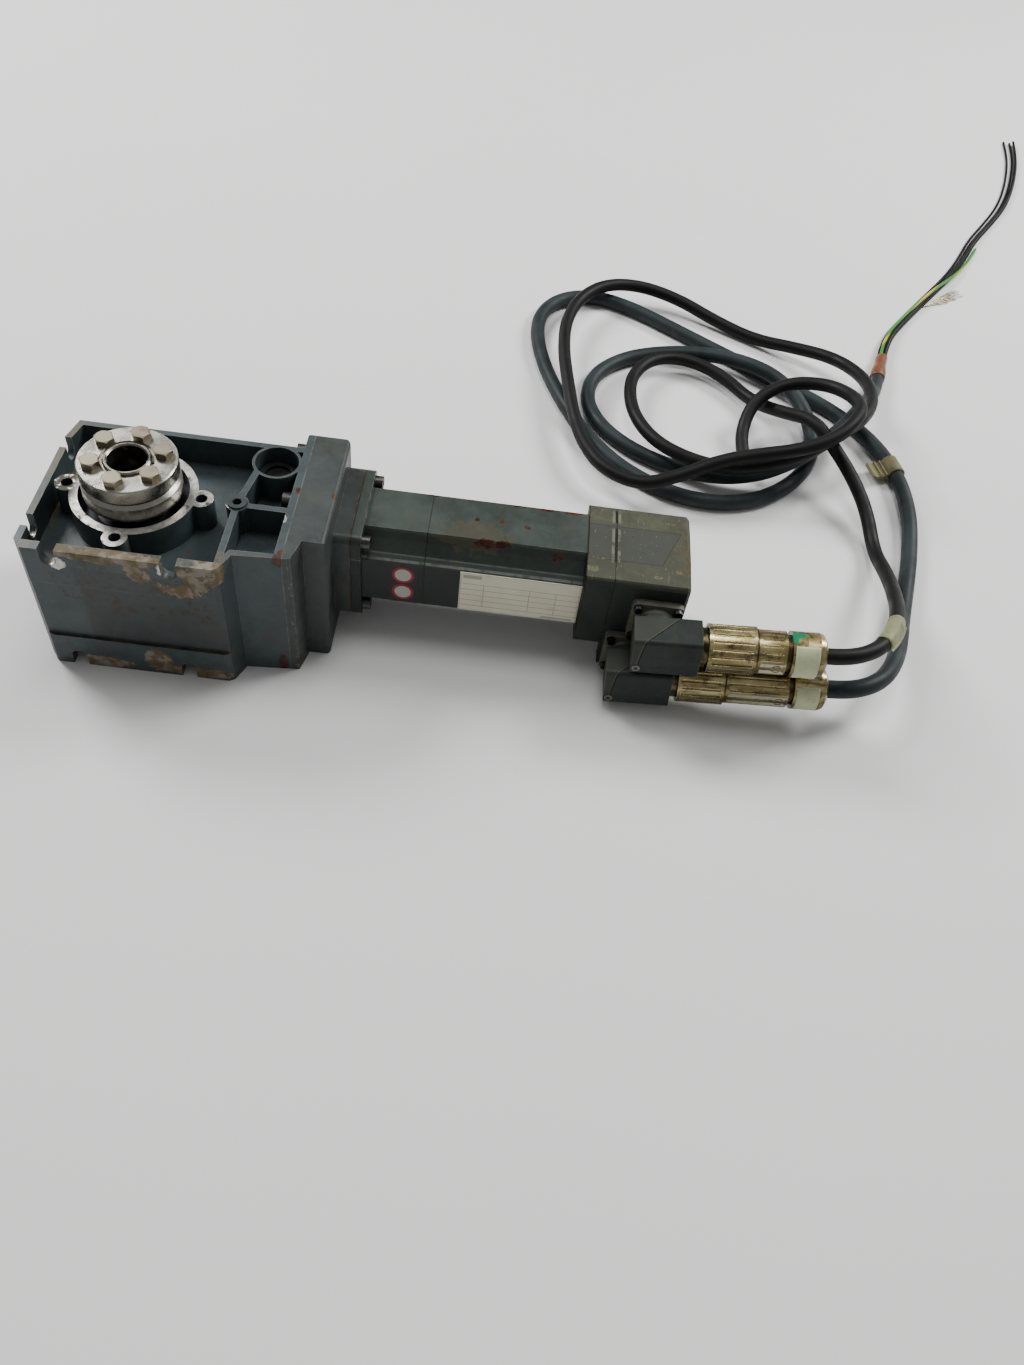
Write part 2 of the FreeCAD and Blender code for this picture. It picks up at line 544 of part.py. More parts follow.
def bevel_wheel():
    """Ring of teeth on a hub that sits on the hollow shaft; the apex is the origin, teeth facing up."""
    parts, rim = bevel_gear(BEVEL_WHEEL_TEETH, bevel_cones()[1], BEVEL_FACE, 180.0 / BEVEL_WHEEL_TEETH)
    (toe_r, toe_z), (heel_r, heel_z) = rim
    hub = turned([(WHEEL_SEAT_R, HUB_TOP), (toe_r - 1, HUB_TOP), (toe_r, toe_z), (heel_r, heel_z),
                  (heel_r, heel_z + 2.5), (26.0, HUB_BACK), (WHEEL_SEAT_R, HUB_BACK)])
    wheel = hub.multiFuse(parts)
    wheel.rotate(V(0, 0, 0), X_AXIS, 180)
    return wheel.cut(wheel_key())


def bevel_pinion_shaft():
    """Bevel pinion cut on its own shaft, apex at the origin, running out along +X."""
    parts, rim = bevel_gear(BEVEL_PINION_TEETH, bevel_cones()[0], BEVEL_FACE, 0.0)
    (toe_r, toe_z), (heel_r, heel_z) = rim
    seat = PINION_BEARINGS[0]
    end = SPUR_X + SPUR_WIDTH + 2
    shaft = turned([(0, toe_z), (toe_r, toe_z), (heel_r, heel_z), (heel_r + 0.6, heel_z + 1.5),
                    (12.5, seat), (PINION_SHAFT_R, seat), (PINION_SHAFT_R, SPUR_X - 2),
                    (SPUR_BORE, SPUR_X - 2), (SPUR_BORE, end), (0, end)])
    return along_x(shaft.multiFuse(parts), 0, 0)


def spur_wheel():
    gear = spur_gear(WHEEL_TEETH, SPUR_WIDTH).cut(Part.makeCylinder(SPUR_BORE, SPUR_WIDTH))
    return along_x(gear, SPUR_X, 0)


def motor_pinion():
    gear = spur_gear(MOTOR_TEETH, SPUR_WIDTH, 180.0 + 180.0 / MOTOR_TEETH)
    hub = Part.makeCylinder(8.0, 5.0, V(0, 0, SPUR_WIDTH))
    gear = gear.fuse(hub).cut(Part.makeCylinder(SHAFT_NOSE_R, SPUR_WIDTH + 5))
    return along_x(gear, SPUR_X, AXIS_Y)


# ---------------------------------------------------------------- closures of the gearbox

def access_cap():
    cx, cy, _, c_in = CUP
    low, high = CUP_FLOOR, CUP_FLOOR + 6
    return turned([(0, low), (c_in, low), (c_in, high - 1), (c_in - 1.2, high), (8.0, high),
                   (8.0, high - 1.8), (0, high - 1.8)], cx, cy)


def oil_plug():
    bx, by, br = BOSS
    high = HALF_HEIGHT
    plug = cyl("Z", bx, by, 4.0, high - 9, high).fuse(cyl("Z", bx, by, br - 1.2, high, high + 1.2))
    return plug.cut(hexagon("Z", bx, by, 5.0, high - 5, high + 1.2))


# ---------------------------------------------------------------- motor

def motor_screw_places():
    return [(AXIS_Y + sy * FLANGE_BOLT, sz * FLANGE_BOLT) for sy in (-1, 1) for sz in (-1, 1)]


def motor_section():
    """Square section with a stepped notch along each corner."""
    near, far = BODY_NOTCH
    corner = [(BODY_HALF, BODY_FLAT), (far, near), (near, far), (BODY_FLAT, BODY_HALF)]
    points = []
    for k in range(4):
        c, s = (1, 0, -1, 0)[k], (0, 1, 0, -1)[k]
        points += [(AXIS_Y + c * u - s * v, s * u + c * v) for u, v in corner]
    return points


def motor_front_shield():
    flange = rounded_square(FLANGE_HALF, FLANGE_HALF, 6.0, "X", AXIS_Y, 0, FLANGE_X, FLANGE_X + FLANGE_T)
    body = prism(motor_section(), "X", FLANGE_X + FLANGE_T - 1, SHIELD_END)
    pilot = cyl("X", AXIS_Y, 0, PILOT_R - 0.02, FLANGE_X - 2.5, FLANGE_X)
    shield = union([flange, body, pilot])
    bearing_r, bearing_w = MOTOR_BEARING
    seat = MOTOR_BEARINGS[0]
    tools = [cyl("X", AXIS_Y, 0, 11.0, FLANGE_X - 3, seat),
             cyl("X", AXIS_Y, 0, bearing_r, seat, seat + bearing_w),
             cyl("X", AXIS_Y, 0, 24.0, seat + bearing_w, SHIELD_END)]
    tools += [cyl("X", y, z, 2.75, FLANGE_X, FLANGE_X + FLANGE_T) for y, z in motor_screw_places()]
    return minus(shield, tools)


def motor_flange_screws():
    return [socket_screw("X", y, z, FLANGE_X + FLANGE_T, (4.25, 5.0), (2.5, FLANGE_T + 8), -1)
            for y, z in motor_screw_places()]


def stator_housing():
    body = prism(motor_section(), "X", SHIELD_END, STATOR_END)
    return body.cut(cyl("X", AXIS_Y, 0, STACK_R, SHIELD_END, STATOR_END))


def around_motor(shape, count, phase=0.0):
    """Copies of a shape spaced evenly about the motor's axis."""
    copies = []
    for k in range(count):
        copy = shape.copy()
        copy.rotate(V(0, AXIS_Y, 0), X_AXIS, phase + 360.0 * k / count)
        copies.append(copy)
    return copies


def stator_core():
    """Stack of laminations with slots open to the rotor."""
    core = ring("X", AXIS_Y, 0, STACK_R, STACK_BORE, STACK_LOW, STACK_HIGH)
    slot = box(STACK_LOW, STACK_HIGH, AXIS_Y + STACK_BORE - 1, AXIS_Y + SLOT_R, -2.6, 2.6)
    return minus(core, around_motor(slot, SLOTS, 15.0))


def stator_winding():
    """Coils in the slots, joined by an overhang at each end of the stack."""
    parts = [ring("X", AXIS_Y, 0, STACK_R - 2, STACK_BORE + 2, low, low + OVERHANG)
             for low in (STACK_LOW - OVERHANG - 0.5, STACK_HIGH + 0.5)]
    bar = box(STACK_LOW - 2, STACK_HIGH + 2, AXIS_Y + STACK_BORE + 2.5, AXIS_Y + SLOT_R - 0.5, -2.1, 2.1)
    parts += around_motor(bar, SLOTS, 15.0)
    return parts[0].multiFuse(parts[1:])


def rotor_shaft():
    first, second = MOTOR_BEARINGS
    width = MOTOR_BEARING[1]
    return turned([(0, SPUR_X), (SHAFT_NOSE_R, SPUR_X), (SHAFT_NOSE_R, first - 4),
                   (ROTOR_SHAFT_R, first - 4), (ROTOR_SHAFT_R, first + width),
                   (ROTOR_CORE_BORE, first + width), (ROTOR_CORE_BORE, second),
                   (ROTOR_SHAFT_R, second), (ROTOR_SHAFT_R, second + width),
                   (SHAFT_TAIL_R, second + width), (SHAFT_TAIL_R, SHAFT_TAIL_END),
                   (0, SHAFT_TAIL_END)], AXIS_Y, 0, "X")


def rotor_core():
    return ring("X", AXIS_Y, 0, ROTOR_CORE_R, ROTOR_CORE_BORE, STACK_LOW, STACK_HIGH)


def rotor_magnets():
    """Curved magnets round the rotor core, with gaps between them."""
    shell = ring("X", AXIS_Y, 0, MAGNET_R, ROTOR_CORE_R, STACK_LOW + 2, STACK_HIGH - 2)
    gap = box(STACK_LOW, STACK_HIGH, AXIS_Y + ROTOR_CORE_R - 1, AXIS_Y + MAGNET_R + 1, -0.8, 0.8)
    return minus(shell, around_motor(gap, POLES))


def rear_section():
    """Rear covers' section: flat top and bottom bands with slightly falling flanks, cut corners."""
    band, fall, cut = 14.0, 1.6, 2.5
    top = REAR_HALF
    half = [(REAR_FRONT, top - fall - cut), (REAR_FRONT + cut, top - fall), (AXIS_Y - band, top),
            (AXIS_Y + band, top), (REAR_BACK - cut, top - fall), (REAR_BACK, top - fall - cut)]
    return half + [(y, -z) for y, z in reversed(half)]


def rear_shield():
    body = prism(rear_section(), "X", STATOR_END, REAR_JOINT)
    bearing_r, bearing_w = MOTOR_BEARING
    seat = MOTOR_BEARINGS[1]
    tools = [cyl("X", AXIS_Y, 0, 24.0, STATOR_END, seat - 2),
             cyl("X", AXIS_Y, 0, bearing_r, seat, REAR_JOINT),
             cyl("X", AXIS_Y, 0, 12.0, STATOR_END, REAR_JOINT)]
    return minus(body, tools)


def cover_screw_places():
    return [(y, z) for y in (REAR_FRONT + 7, REAR_BACK - 6) for z in (-22.0, 22.0)]


def rear_cover():
    """Hollow cover over the resolver, with a wall below it that carries the lower socket."""
    body = prism(rear_section(), "X", REAR_JOINT, REAR_END)
    far = [e for e in body.Edges if min(v.X for v in e.Vertexes) > REAR_END - 0.01]
    body = body.makeChamfer(2.0, far)
    end, low, high = SKIRT
    body = union([body, box(REAR_JOINT, end, REAR_FRONT, REAR_FRONT + 9.0, low, high)])
    roof = REAR_HALF - COVER_WALL - 1
    inner = box(REAR_JOINT, REAR_END - COVER_WALL, REAR_FRONT + COVER_WALL, REAR_BACK - COVER_WALL,
                -roof, roof)
    tools = [inner.cut(corner_posts())]
    for x, z, _ in SOCKETS.values():
        tools.append(cyl("Y", x, z, 9.0, REAR_FRONT, REAR_FRONT + 8.0))
        tools += [cyl("Y", a, b, 1.5, REAR_FRONT, REAR_FRONT + 4) for a, b in socket_corners(x, z)]
    tools += [cyl("X", y, z, 2.3, REAR_JOINT, REAR_END) for y, z in cover_screw_places()]
    tools += [cyl("X", y, z, 4.2, REAR_END - 5, REAR_END) for y, z in cover_screw_places()]
    return minus(body, tools)


def corner_posts():
    return Part.makeCompound([cyl("X", y, z, 5.0, REAR_JOINT, REAR_END) for y, z in cover_screw_places()])


def rear_cover_screws():
    return [socket_screw("X", y, z, REAR_END - 5, (4.0, 4.0), (2.2, REAR_END - REAR_JOINT - 5), -1)
            for y, z in cover_screw_places()]


def front_plate(start, end, thickness):
    """Flat plate on the motor's front side."""
    face = AXIS_Y - BODY_HALF
    return box(start, end, face - thickness, face, -PLATE_HALF, PLATE_HALF)


# ---------------------------------------------------------------- connectors

def socket_corners(x, z):
    return [(x + sx * SOCKET_SCREW, z + sz * SOCKET_SCREW) for sx in (-1, 1) for sz in (-1, 1)]


def socket_base(x, z):
    """Square flange with a short round seat for the elbow."""
    face = REAR_FRONT - SOCKET_T
    base = rounded_square(SOCKET_HALF, SOCKET_HALF, 3.0, "Y", x, z, face, REAR_FRONT)
    base = union([base, cyl("Y", x, z, SEAT_R, face - SEAT_T, face)])
    holes = [cyl("Y", a, b, 1.6, face, REAR_FRONT) for a, b in socket_corners(x, z)]
    return minus(base, holes + [cyl("Y", x, z, SOCKET_BORE, face - SEAT_T, REAR_FRONT)])


def socket_screws():
    screws = []
    for x, z, _ in SOCKETS.values():
        screws += [socket_screw("Y", a, b, REAR_FRONT - SOCKET_T, (2.75, 2.8), (1.5, SOCKET_T + 3.5))
                   for a, b in socket_corners(x, z)]
    return screws


def socket_elbow(x, z):
    """Right-angle housing: a round foot on the flange and a square barrel along +X."""
    foot_y = REAR_FRONT - SOCKET_T - SEAT_T
    front, left, right = OUTLET_Y - ELBOW_FRONT, x - ELBOW_LEFT, x + ELBOW_RIGHT
    back, leant = foot_y - 2.5, front + ELBOW_LEAN
    foot = cyl("Y", x, z, ELBOW_LEFT, foot_y - 8.0, foot_y)
    barrel = prism([(front, z - ELBOW_Z), (front, z), (leant, z + ELBOW_Z), (back, z + ELBOW_Z),
                    (back, z - ELBOW_Z)], "X", left, right)
    along = [e for e in barrel.Edges if abs(e.tangentAt(e.FirstParameter).x) > 0.99
             and abs(e.Vertexes[0].Z - z) > 1]
    barrel = barrel.makeFillet(3.0, along)
    spigot = cyl("X", OUTLET_Y, z, SPIGOT_R, right, ring_start(x) + RING_L - 9)
    collar = cyl("X", OUTLET_Y, z, COLLAR_R, right, ring_start(x) - 1)
    bore = cyl("X", OUTLET_Y, z, ELBOW_BORE, x, ring_start(x) + RING_L)
    lead = cyl("Y", x, z, SOCKET_BORE, OUTLET_Y, foot_y)
    return minus(union([foot, barrel, spigot, collar]), [bore, lead])


def contact_insert(x, z):
    """Insulating disc with a circle of pins that stand towards the plug."""
    start = x + ELBOW_RIGHT - 4
    parts = [cyl("X", OUTLET_Y, z, ELBOW_BORE - 0.1, start, start + 7)]
    for k in range(PINS):
        turn = 2 * math.pi * k / PINS
        y, up = OUTLET_Y + PIN_CIRCLE * math.cos(turn), z + PIN_CIRCLE * math.sin(turn)
        parts.append(cyl("X", y, up, PIN_R, start + 6, start + 17))
    return parts[0].multiFuse(parts[1:])


def fluted(a, b, r, start, end, depth):
    """Round bar along X with flutes cut along it for grip."""
    flutes = []
    for k in range(FLUTES):
        turn = 2 * math.pi * (k + 0.5) / FLUTES
        at = r + depth * 0.6
        u, v = a + at * math.cos(turn), b + at * math.sin(turn)
        flutes.append(cyl("X", u, v, depth * 1.6, start + FLUTE_END, end - FLUTE_END))
    return minus(cyl("X", a, b, r, start, end), flutes)


def ring_start(x):
    return x + ELBOW_RIGHT + COLLAR_L


def plug_start(x):
    return ring_start(x) + RING_L + PLUG_GAP


def nut_start(x, length):
    return plug_start(x) + length + NECK_L


def coupling_ring(x, z):
    start = ring_start(x)
    lip = start + RING_L - 6
    body = fluted(OUTLET_Y, z, COUPLING_R, start, start + RING_L, 0.7)
    return minus(body, [cyl("X", OUTLET_Y, z, THREAD_R, start, lip),
                        cyl("X", OUTLET_Y, z, NOSE_R + 0.1, lip, start + RING_L)])


def plug_body(x, z, length):
    """Plug shell: a nose that runs inside the coupling ring, the gripped barrel and its neck."""
    nose, start = plug_start(x) - 8.0, plug_start(x)
    neck, end = start + length, nut_start(x, length)
    parts = [cyl("X", OUTLET_Y, z, NOSE_R, nose, start), fluted(OUTLET_Y, z, PLUG_R, start, neck, 0.5),
             cyl("X", OUTLET_Y, z, PLUG_NECK_R, neck, end)]
    return minus(union(parts), [cyl("X", OUTLET_Y, z, NOSE_BORE, nose, end)])


def clamp_nut(x, z, length):
    """Nut with two wrench flats and a grommet that the cable comes out of."""
    start = nut_start(x, length)
    end = start + NUT_L
    inside = end - GROMMET_L
    shell = turned([(NOSE_BORE, start), (NUT_R, start), (NUT_R, end - 4.5), (NUT_R - 1.2, end - 1.6),
                    (NUT_R - 4.0, end), (0, end), (0, inside), (NOSE_BORE, inside)], OUTLET_Y, z, "X")
    flats = []
    for low, high in ((z - 20, z - NUT_FLAT), (z + NUT_FLAT, z + 20)):
        flats.append(box(start, start + NUT_FLAT_L, OUTLET_Y - 20, OUTLET_Y + 20, low, high))
    return minus(shell, flats)


def swivelled(shape, x, z):
    """Turn a piece that belongs to an elbow about its socket's axis."""
    shape.rotate(V(x, 0, z), Y_AXIS, -SWIVEL)
    return shape


def connector(name):
    x, z, length = SOCKETS[name]
    save(name + "_socket_base", socket_base(x, z))
    save(name + "_socket_elbow", swivelled(socket_elbow(x, z), x, z))
    save(name + "_contact_insert", swivelled(contact_insert(x, z), x, z))
    save(name + "_coupling_ring", swivelled(coupling_ring(x, z), x, z))
    save(name + "_plug_body", swivelled(plug_body(x, z, length), x, z))
    save(name + "_clamp_nut", swivelled(clamp_nut(x, z, length), x, z))


# ---------------------------------------------------------------- cables

def cable_path(name, points):
    """Edges of straight runs joined by tangent arcs, each as large as its two runs allow."""
    corners = [V(*p) for p in points]
    edges, radii, start = [], [], corners[0]
    for before, here, after in zip(corners, corners[1:], corners[2:]):
        back, ahead = before - here, after - here
        reach = ARC_SHARE * min(back.Length, ahead.Length)
        half_turn = (math.pi - back.getAngle(ahead)) / 2
        radius = reach / math.tan(half_turn)
        back.normalize()
        ahead.normalize()
        inward = back + ahead
        inward.normalize()
        first, last = here + back * reach, here + ahead * reach
        middle = here + inward * (radius / math.cos(half_turn) - radius)
        edges += [Part.LineSegment(start, first).toShape(), Part.Arc(first, middle, last).toShape()]
        radii.append(radius)
        start = last
    edges.append(Part.LineSegment(start, corners[-1]).toShape())
    print(name, "length", round(sum(e.Length for e in edges), 1), "radii", [round(r) for r in radii])
    return edges


def along_path(edges, r):
    """Round solid of radius r along a path."""
    wire = Part.Wire(edges)
    start = edges[0]
    heading = start.tangentAt(start.FirstParameter)
    circle = Part.Wire(Part.makeCircle(r, start.valueAt(start.FirstParameter), heading))
    solid = wire.makePipeShell([circle], True, False)
    print("  volume over section times length", round(solid.Volume / (math.pi * r * r * wire.Length), 4))
    return right_way_out(solid)


def beside(points, across, above):
    """Route that keeps beside and above another; the side is square to the power cable's end."""
    (x0, y0, _), (x1, y1, _) = POWER_ROUTE[-2:]
    far = math.hypot(x1 - x0, y1 - y0)
    dx, dy = across * (y1 - y0) / far, -across * (x1 - x0) / far
    return [(x + dx, y + dy, z + above) for x, y, z in points]


def laid_along(shape, at, heading):
    """Move a shape built along +X from the origin to a place and heading, its own Z staying up."""
    shape.Placement = FreeCAD.Placement(at, FreeCAD.Rotation(heading, V(0, 0, 0), Z_AXIS, "XZY"))
    return shape


def heat_shrink_sleeve():
    """Sleeve over the power cable's end, narrowing to where the conductors come out."""
    end, before = V(*POWER_ROUTE[-1]), V(*POWER_ROUTE[-2])
    sleeve = turned([(0, 0), (POWER_R, 0), (POWER_R, -SHRINK_OVER), (SHRINK_R, -SHRINK_OVER),
                     (SHRINK_R, 3.0), (SHRINK_TIP_R, 12.0), (SHRINK_TIP_R, SHRINK_L), (0, SHRINK_L)],
                    0, 0, "X")
    return laid_along(sleeve, end, end - before)


def end_cap():
    """Closed cap pushed over the feedback cable's far end."""
    end, before = V(*FEEDBACK_ROUTE[-1]), V(*FEEDBACK_ROUTE[-2])
    tip = CAP_L - CAP_OVER
    cap = turned([(0, 0), (FEEDBACK_R, 0), (FEEDBACK_R, -CAP_OVER), (CAP_R, -CAP_OVER),
                  (CAP_R, tip - EDGE), (CAP_R - EDGE, tip), (0, tip)], 0, 0, "X")
    return laid_along(cap, end, end - before)


def cable_tag():
    """Clip-on marker: a short sleeve round the power cable with a flag on its inner side."""
    first, second = V(*POWER_ROUTE[TAG_AT]), V(*POWER_ROUTE[TAG_AT + 1])
    half = TAG_L / 2
    reach, thickness = TAG_FLAG
    flag = box(-half, half, TAG_R - 1.5, reach, -thickness / 2, thickness / 2)
    tag = union([cyl("X", 0, 0, TAG_R, -half, half), flag]).cut(cyl("X", 0, 0, TAG_BORE, -half, half))
    return laid_along(tag, (first + second) / 2, second - first)


def label_sleeve(edges):
    """Label sleeve shrunk round the feedback cable, following its path."""
    stretch = edges[LABEL_EDGES[0]:LABEL_EDGES[1]]
    return along_path(stretch, LABEL_R).cut(along_path(stretch, FEEDBACK_R + 0.02))


def cables():
    save("power_cable", along_path(cable_path("power", POWER_ROUTE), POWER_R))
    feedback = cable_path("feedback", FEEDBACK_ROUTE)
    save("feedback_cable", along_path(feedback, FEEDBACK_R))
    cores = []
    for across, above in CORE_PLACES:
        cores.append(along_path(cable_path("black core", beside(CORE_ROUTE, across, above)), CORE_R))
    save("black_conductors", cores)
    save("earth_conductor", along_path(cable_path("earth", EARTH_ROUTE), CORE_R))
    save("heat_shrink_sleeve", heat_shrink_sleeve())
    save("feedback_end_cap", end_cap())
    save("cable_tag", cable_tag())
    save("label_sleeve", label_sleeve(feedback))


# ---------------------------------------------------------------- everything

def gearbox():
    save("gear_housing", gear_housing())
    save("input_flange", input_flange())
    save("input_flange_screws", input_flange_screws())
    save("hollow_output_shaft", hollow_shaft())
    save("bevel_wheel", bevel_wheel())
    save("bevel_wheel_key", wheel_key())
    for name, low in (("upper", UPPER_BEARING), ("lower", LOWER_BEARING)):
        bearing = rolling_bearing("Z", 0, 0, BEARING_OUT_R, SHAFT_R + FIT, low, BEARING_H)
        save(name + "_output_bearing", bearing)
    for name, low in (("upper", UPPER_SEAL), ("lower", LOWER_SEAL)):
        save(name + "_output_seal", shaft_seal("Z", 0, 0, RING_BORE, SHAFT_R + 0.05, low, SEAL_H))
    front, rear, sleeve = shrink_disc()
    save("shrink_disc_front_ring", front)
    save("shrink_disc_rear_ring", rear)
    save("shrink_disc_sleeve", sleeve)
    save("shrink_disc_bolts", disc_bolts())
    save("bevel_pinion_shaft", bevel_pinion_shaft())
    for name, low in zip(("front", "rear"), PINION_BEARINGS):
        bearing = rolling_bearing("X", 0, 0, PINION_BEARING_R, PINION_SHAFT_R + FIT, low, BEARING_H)
        save("pinion_shaft_bearing_" + name, bearing)
    save("spur_wheel", spur_wheel())
    save("access_cap", access_cap())
    save("oil_plug", oil_plug())


def motor():
    save("motor_pinion", motor_pinion())
    save("motor_front_shield", motor_front_shield())
    save("motor_flange_screws", motor_flange_screws())
    save("stator_housing", stator_housing())
    save("stator_core", stator_core())
    save("stator_winding", stator_winding())
    save("rotor_shaft", rotor_shaft())
    save("rotor_core", rotor_core())
    save("rotor_magnets", rotor_magnets())
    bearing_r, bearing_w = MOTOR_BEARING
    for name, low in zip(("front", "rear"), MOTOR_BEARINGS):
        bearing = rolling_bearing("X", AXIS_Y, 0, bearing_r, ROTOR_SHAFT_R + FIT, low, bearing_w)
        save("motor_bearing_" + name, bearing)
    save("motor_shaft_seal", shaft_seal("X", AXIS_Y, 0, 11.0, SHAFT_NOSE_R + 0.05, FLANGE_X + 4, 6.0))
    start, end, outer, inner = RESOLVER
    save("resolver_stator", ring("X", AXIS_Y, 0, outer, inner, start, end))
    save("resolver_rotor", ring("X", AXIS_Y, 0, inner - 0.4, SHAFT_TAIL_R, start + 1, end - 1))
    save("rear_shield", rear_shield())
    save("rear_cover", rear_cover())
    save("rear_cover_screws", rear_cover_screws())
    save("rating_plate", front_plate(*PLATE_X, 0.5))
    save("marking_label", front_plate(*LABEL_X, 0.3))


def main():
    os.makedirs("parts", exist_ok=True)
    gearbox()
    motor()
    for name in SOCKETS:
        connector(name)
    save("socket_screws", socket_screws())
    cables()


main()
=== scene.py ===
"""Looks of the right-angle servo geared motor: materials, cables and small details. Metres."""

import math
import random
from functools import reduce

import bmesh
import bpy
from mathutils import Matrix, Vector


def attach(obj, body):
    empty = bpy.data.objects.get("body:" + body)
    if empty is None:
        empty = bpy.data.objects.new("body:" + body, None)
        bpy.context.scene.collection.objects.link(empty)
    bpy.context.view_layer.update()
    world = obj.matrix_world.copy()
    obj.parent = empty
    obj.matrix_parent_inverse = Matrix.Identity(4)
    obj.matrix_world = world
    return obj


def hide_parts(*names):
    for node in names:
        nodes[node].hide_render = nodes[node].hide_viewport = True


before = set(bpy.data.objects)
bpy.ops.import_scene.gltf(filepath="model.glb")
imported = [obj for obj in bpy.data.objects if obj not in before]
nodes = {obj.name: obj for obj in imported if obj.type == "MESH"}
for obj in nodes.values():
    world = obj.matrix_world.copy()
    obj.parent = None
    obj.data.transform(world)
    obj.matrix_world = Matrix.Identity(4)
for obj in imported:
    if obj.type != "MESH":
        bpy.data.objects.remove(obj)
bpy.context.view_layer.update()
MM = 0.001
FLOOR = -49 * MM
SIDES = 36                      # of a round sleeve or ring

# Places taken from the part's own dimensions.
SWIVEL = math.radians(4)        # the plugs point up by this
SOCKETS = {"feedback": Vector((310.3, -26.6, 2.1)) * MM, "power": Vector((299.0, -26.6, -29.4)) * MM}
PLUG_DIR = Vector((math.cos(SWIVEL), 0, math.sin(SWIVEL)))
PLUG_START = 59.9 * MM          # from the socket's axis to the plug's barrel
BARREL = {"feedback": 17.2 * MM, "power": 38.5 * MM}
NECK = 3 * MM
NUT_R = 13.9 * MM
ELBOW_END = 27 * MM             # from the socket's axis to the elbow's brass collar
ELBOW_FRONT = -40 * MM          # the elbows' flat front faces
POWER_R, FEEDBACK_R, CORE_R = 5.75 * MM, 5.0 * MM, 1.3 * MM

# Centre lines of the cables in millimetres, the same points as the part's own routes.
POWER_ROUTE = [
    (421.1, -26.6, -20.9), (432.5, -26.6, -20.1), (445, -23, -20.4), (457, -15, -22.2),
    (467, -2.5, -25.6), (475.5, 14, -30), (483, 35, -35.5), (490, 61, -40.5), (499, 94, -43.25),
    (507, 130, -43.25), (512, 167, -42.25), (510, 203, -41.55), (501, 233, -41.55), (487, 259, -42.25),
    (467, 282, -43.25), (442, 301, -43.25), (410, 322, -43.25), (372, 346, -43.25), (334, 371, -43.25),
    (299, 393, -43.25), (267, 403, -43.25), (238, 392, -43.25), (222, 365, -43.25), (222, 330, -43.25),
    (232, 289, -43.25), (248, 250, -43.25), (267, 214, -43.25), (292, 184, -43.25), (324, 163, -43.25),
    (358, 155, -43.25), (392, 162, -43.25), (421, 183, -43.25), (440, 212, -43.25), (447, 246, -43.25),
    (440, 278, -38.25), (421, 303, -32.25), (393, 321, -33.25), (360, 332, -38.25), (326, 333, -43.25),
    (294, 318, -43.25), (271, 292, -43.25), (265, 259, -43.25), (277, 228, -43.25), (302, 204, -43.25),
    (335, 189, -43.25), (367, 181, -40.25), (397, 184, -35.25), (423, 197, -29.25), (446, 219, -28.25),
    (467, 247, -28.25), (487, 279, -29.25), (499, 303, -37.2), (506, 322, -42.6),
    (511, 341, -42.6),
]
FEEDBACK_ROUTE = [
    (411.2, -26.6, 9.2), (422.5, -26.6, 10), (435, -23, 10.2), (446.5, -15, 9.2), (456, -2.5, 6.6),
    (464, 14, 1.8), (470.5, 35, -6), (475.5, 61, -17), (479, 92, -30), (480, 126, -44), (476, 157, -35),
    (466, 183, -27), (452, 205, -19), (436, 226, -11), (419, 250, -26), (399, 279, -41),
    (377, 305, -39), (349, 321, -38), (320, 315, -36), (302, 290, -35), (298, 258, -33),
    (304, 226, -32), (320, 199, -30), (345, 182, -28), (374, 176, -27), (404, 179, -20),
    (432, 190, -11), (457, 208, -3), (477, 236, -8), (488, 271, -14), (485, 307, -22), (468, 336, -29),
    (440, 355, -37), (407, 370, -44), (374, 387, -42), (341, 405, -37), (307, 412, -33),
    (276, 401, -29), (254, 375, -29), (244, 339, -29), (244, 300, -29), (249, 261, -29),
    (255, 223, -30), (264, 188, -30), (281, 161, -30), (309, 150, -30), (337, 159, -23),
    (363, 171, -16), (391, 176, -10), (419, 178, -3), (446, 189, 4), (464, 212, 11), (465, 242, 2),
    (449, 267, -7), (421, 274, -15), (396, 260, -24), (387, 236, -37), (389, 214, -43.3),
    (391, 200, -43.3),
]
CORE_ROUTE = [
    (517.62, 366.14, -43.6), (522.1, 383.1, -43.6), (532, 408, -46.3), (547, 433, -47.7), (564, 459, -47.7),
    (582, 486, -47.7), (603, 517, -47.7), (622, 551, -47.7), (640, 590, -47.7), (663, 627, -47.7),
    (685, 665, -47.7), (701, 704, -47.7), (714, 746, -47.7), (723, 784, -47.7), (726.6, 816, -47.7),
]
EARTH_ROUTE = [
    (516.27, 366.5, -41.18), (520.7, 383.5, -41.2), (530.6, 408.4, -43.8), (545.7, 433.3, -44.6),
    (563.6, 459.1, -42.7), (583.5, 485.6, -42.1), (607.8, 515.7, -44.3), (628.4, 549.3, -47.7),
    (641, 576.6, -47.7),
]
# Each black conductor's place across and above the route, and how far its tip strays, in millimetres.
CORE_PLACES = ((-2.8, 0.0, -6.0), (0.0, 0.0, -2.0), (2.8, 0.0, 0.0), (1.4, 2.42, 0.0))


def scene_object(name, data):
    thing = bpy.data.objects.new(name, data)
    bpy.context.scene.collection.objects.link(thing)
    return thing


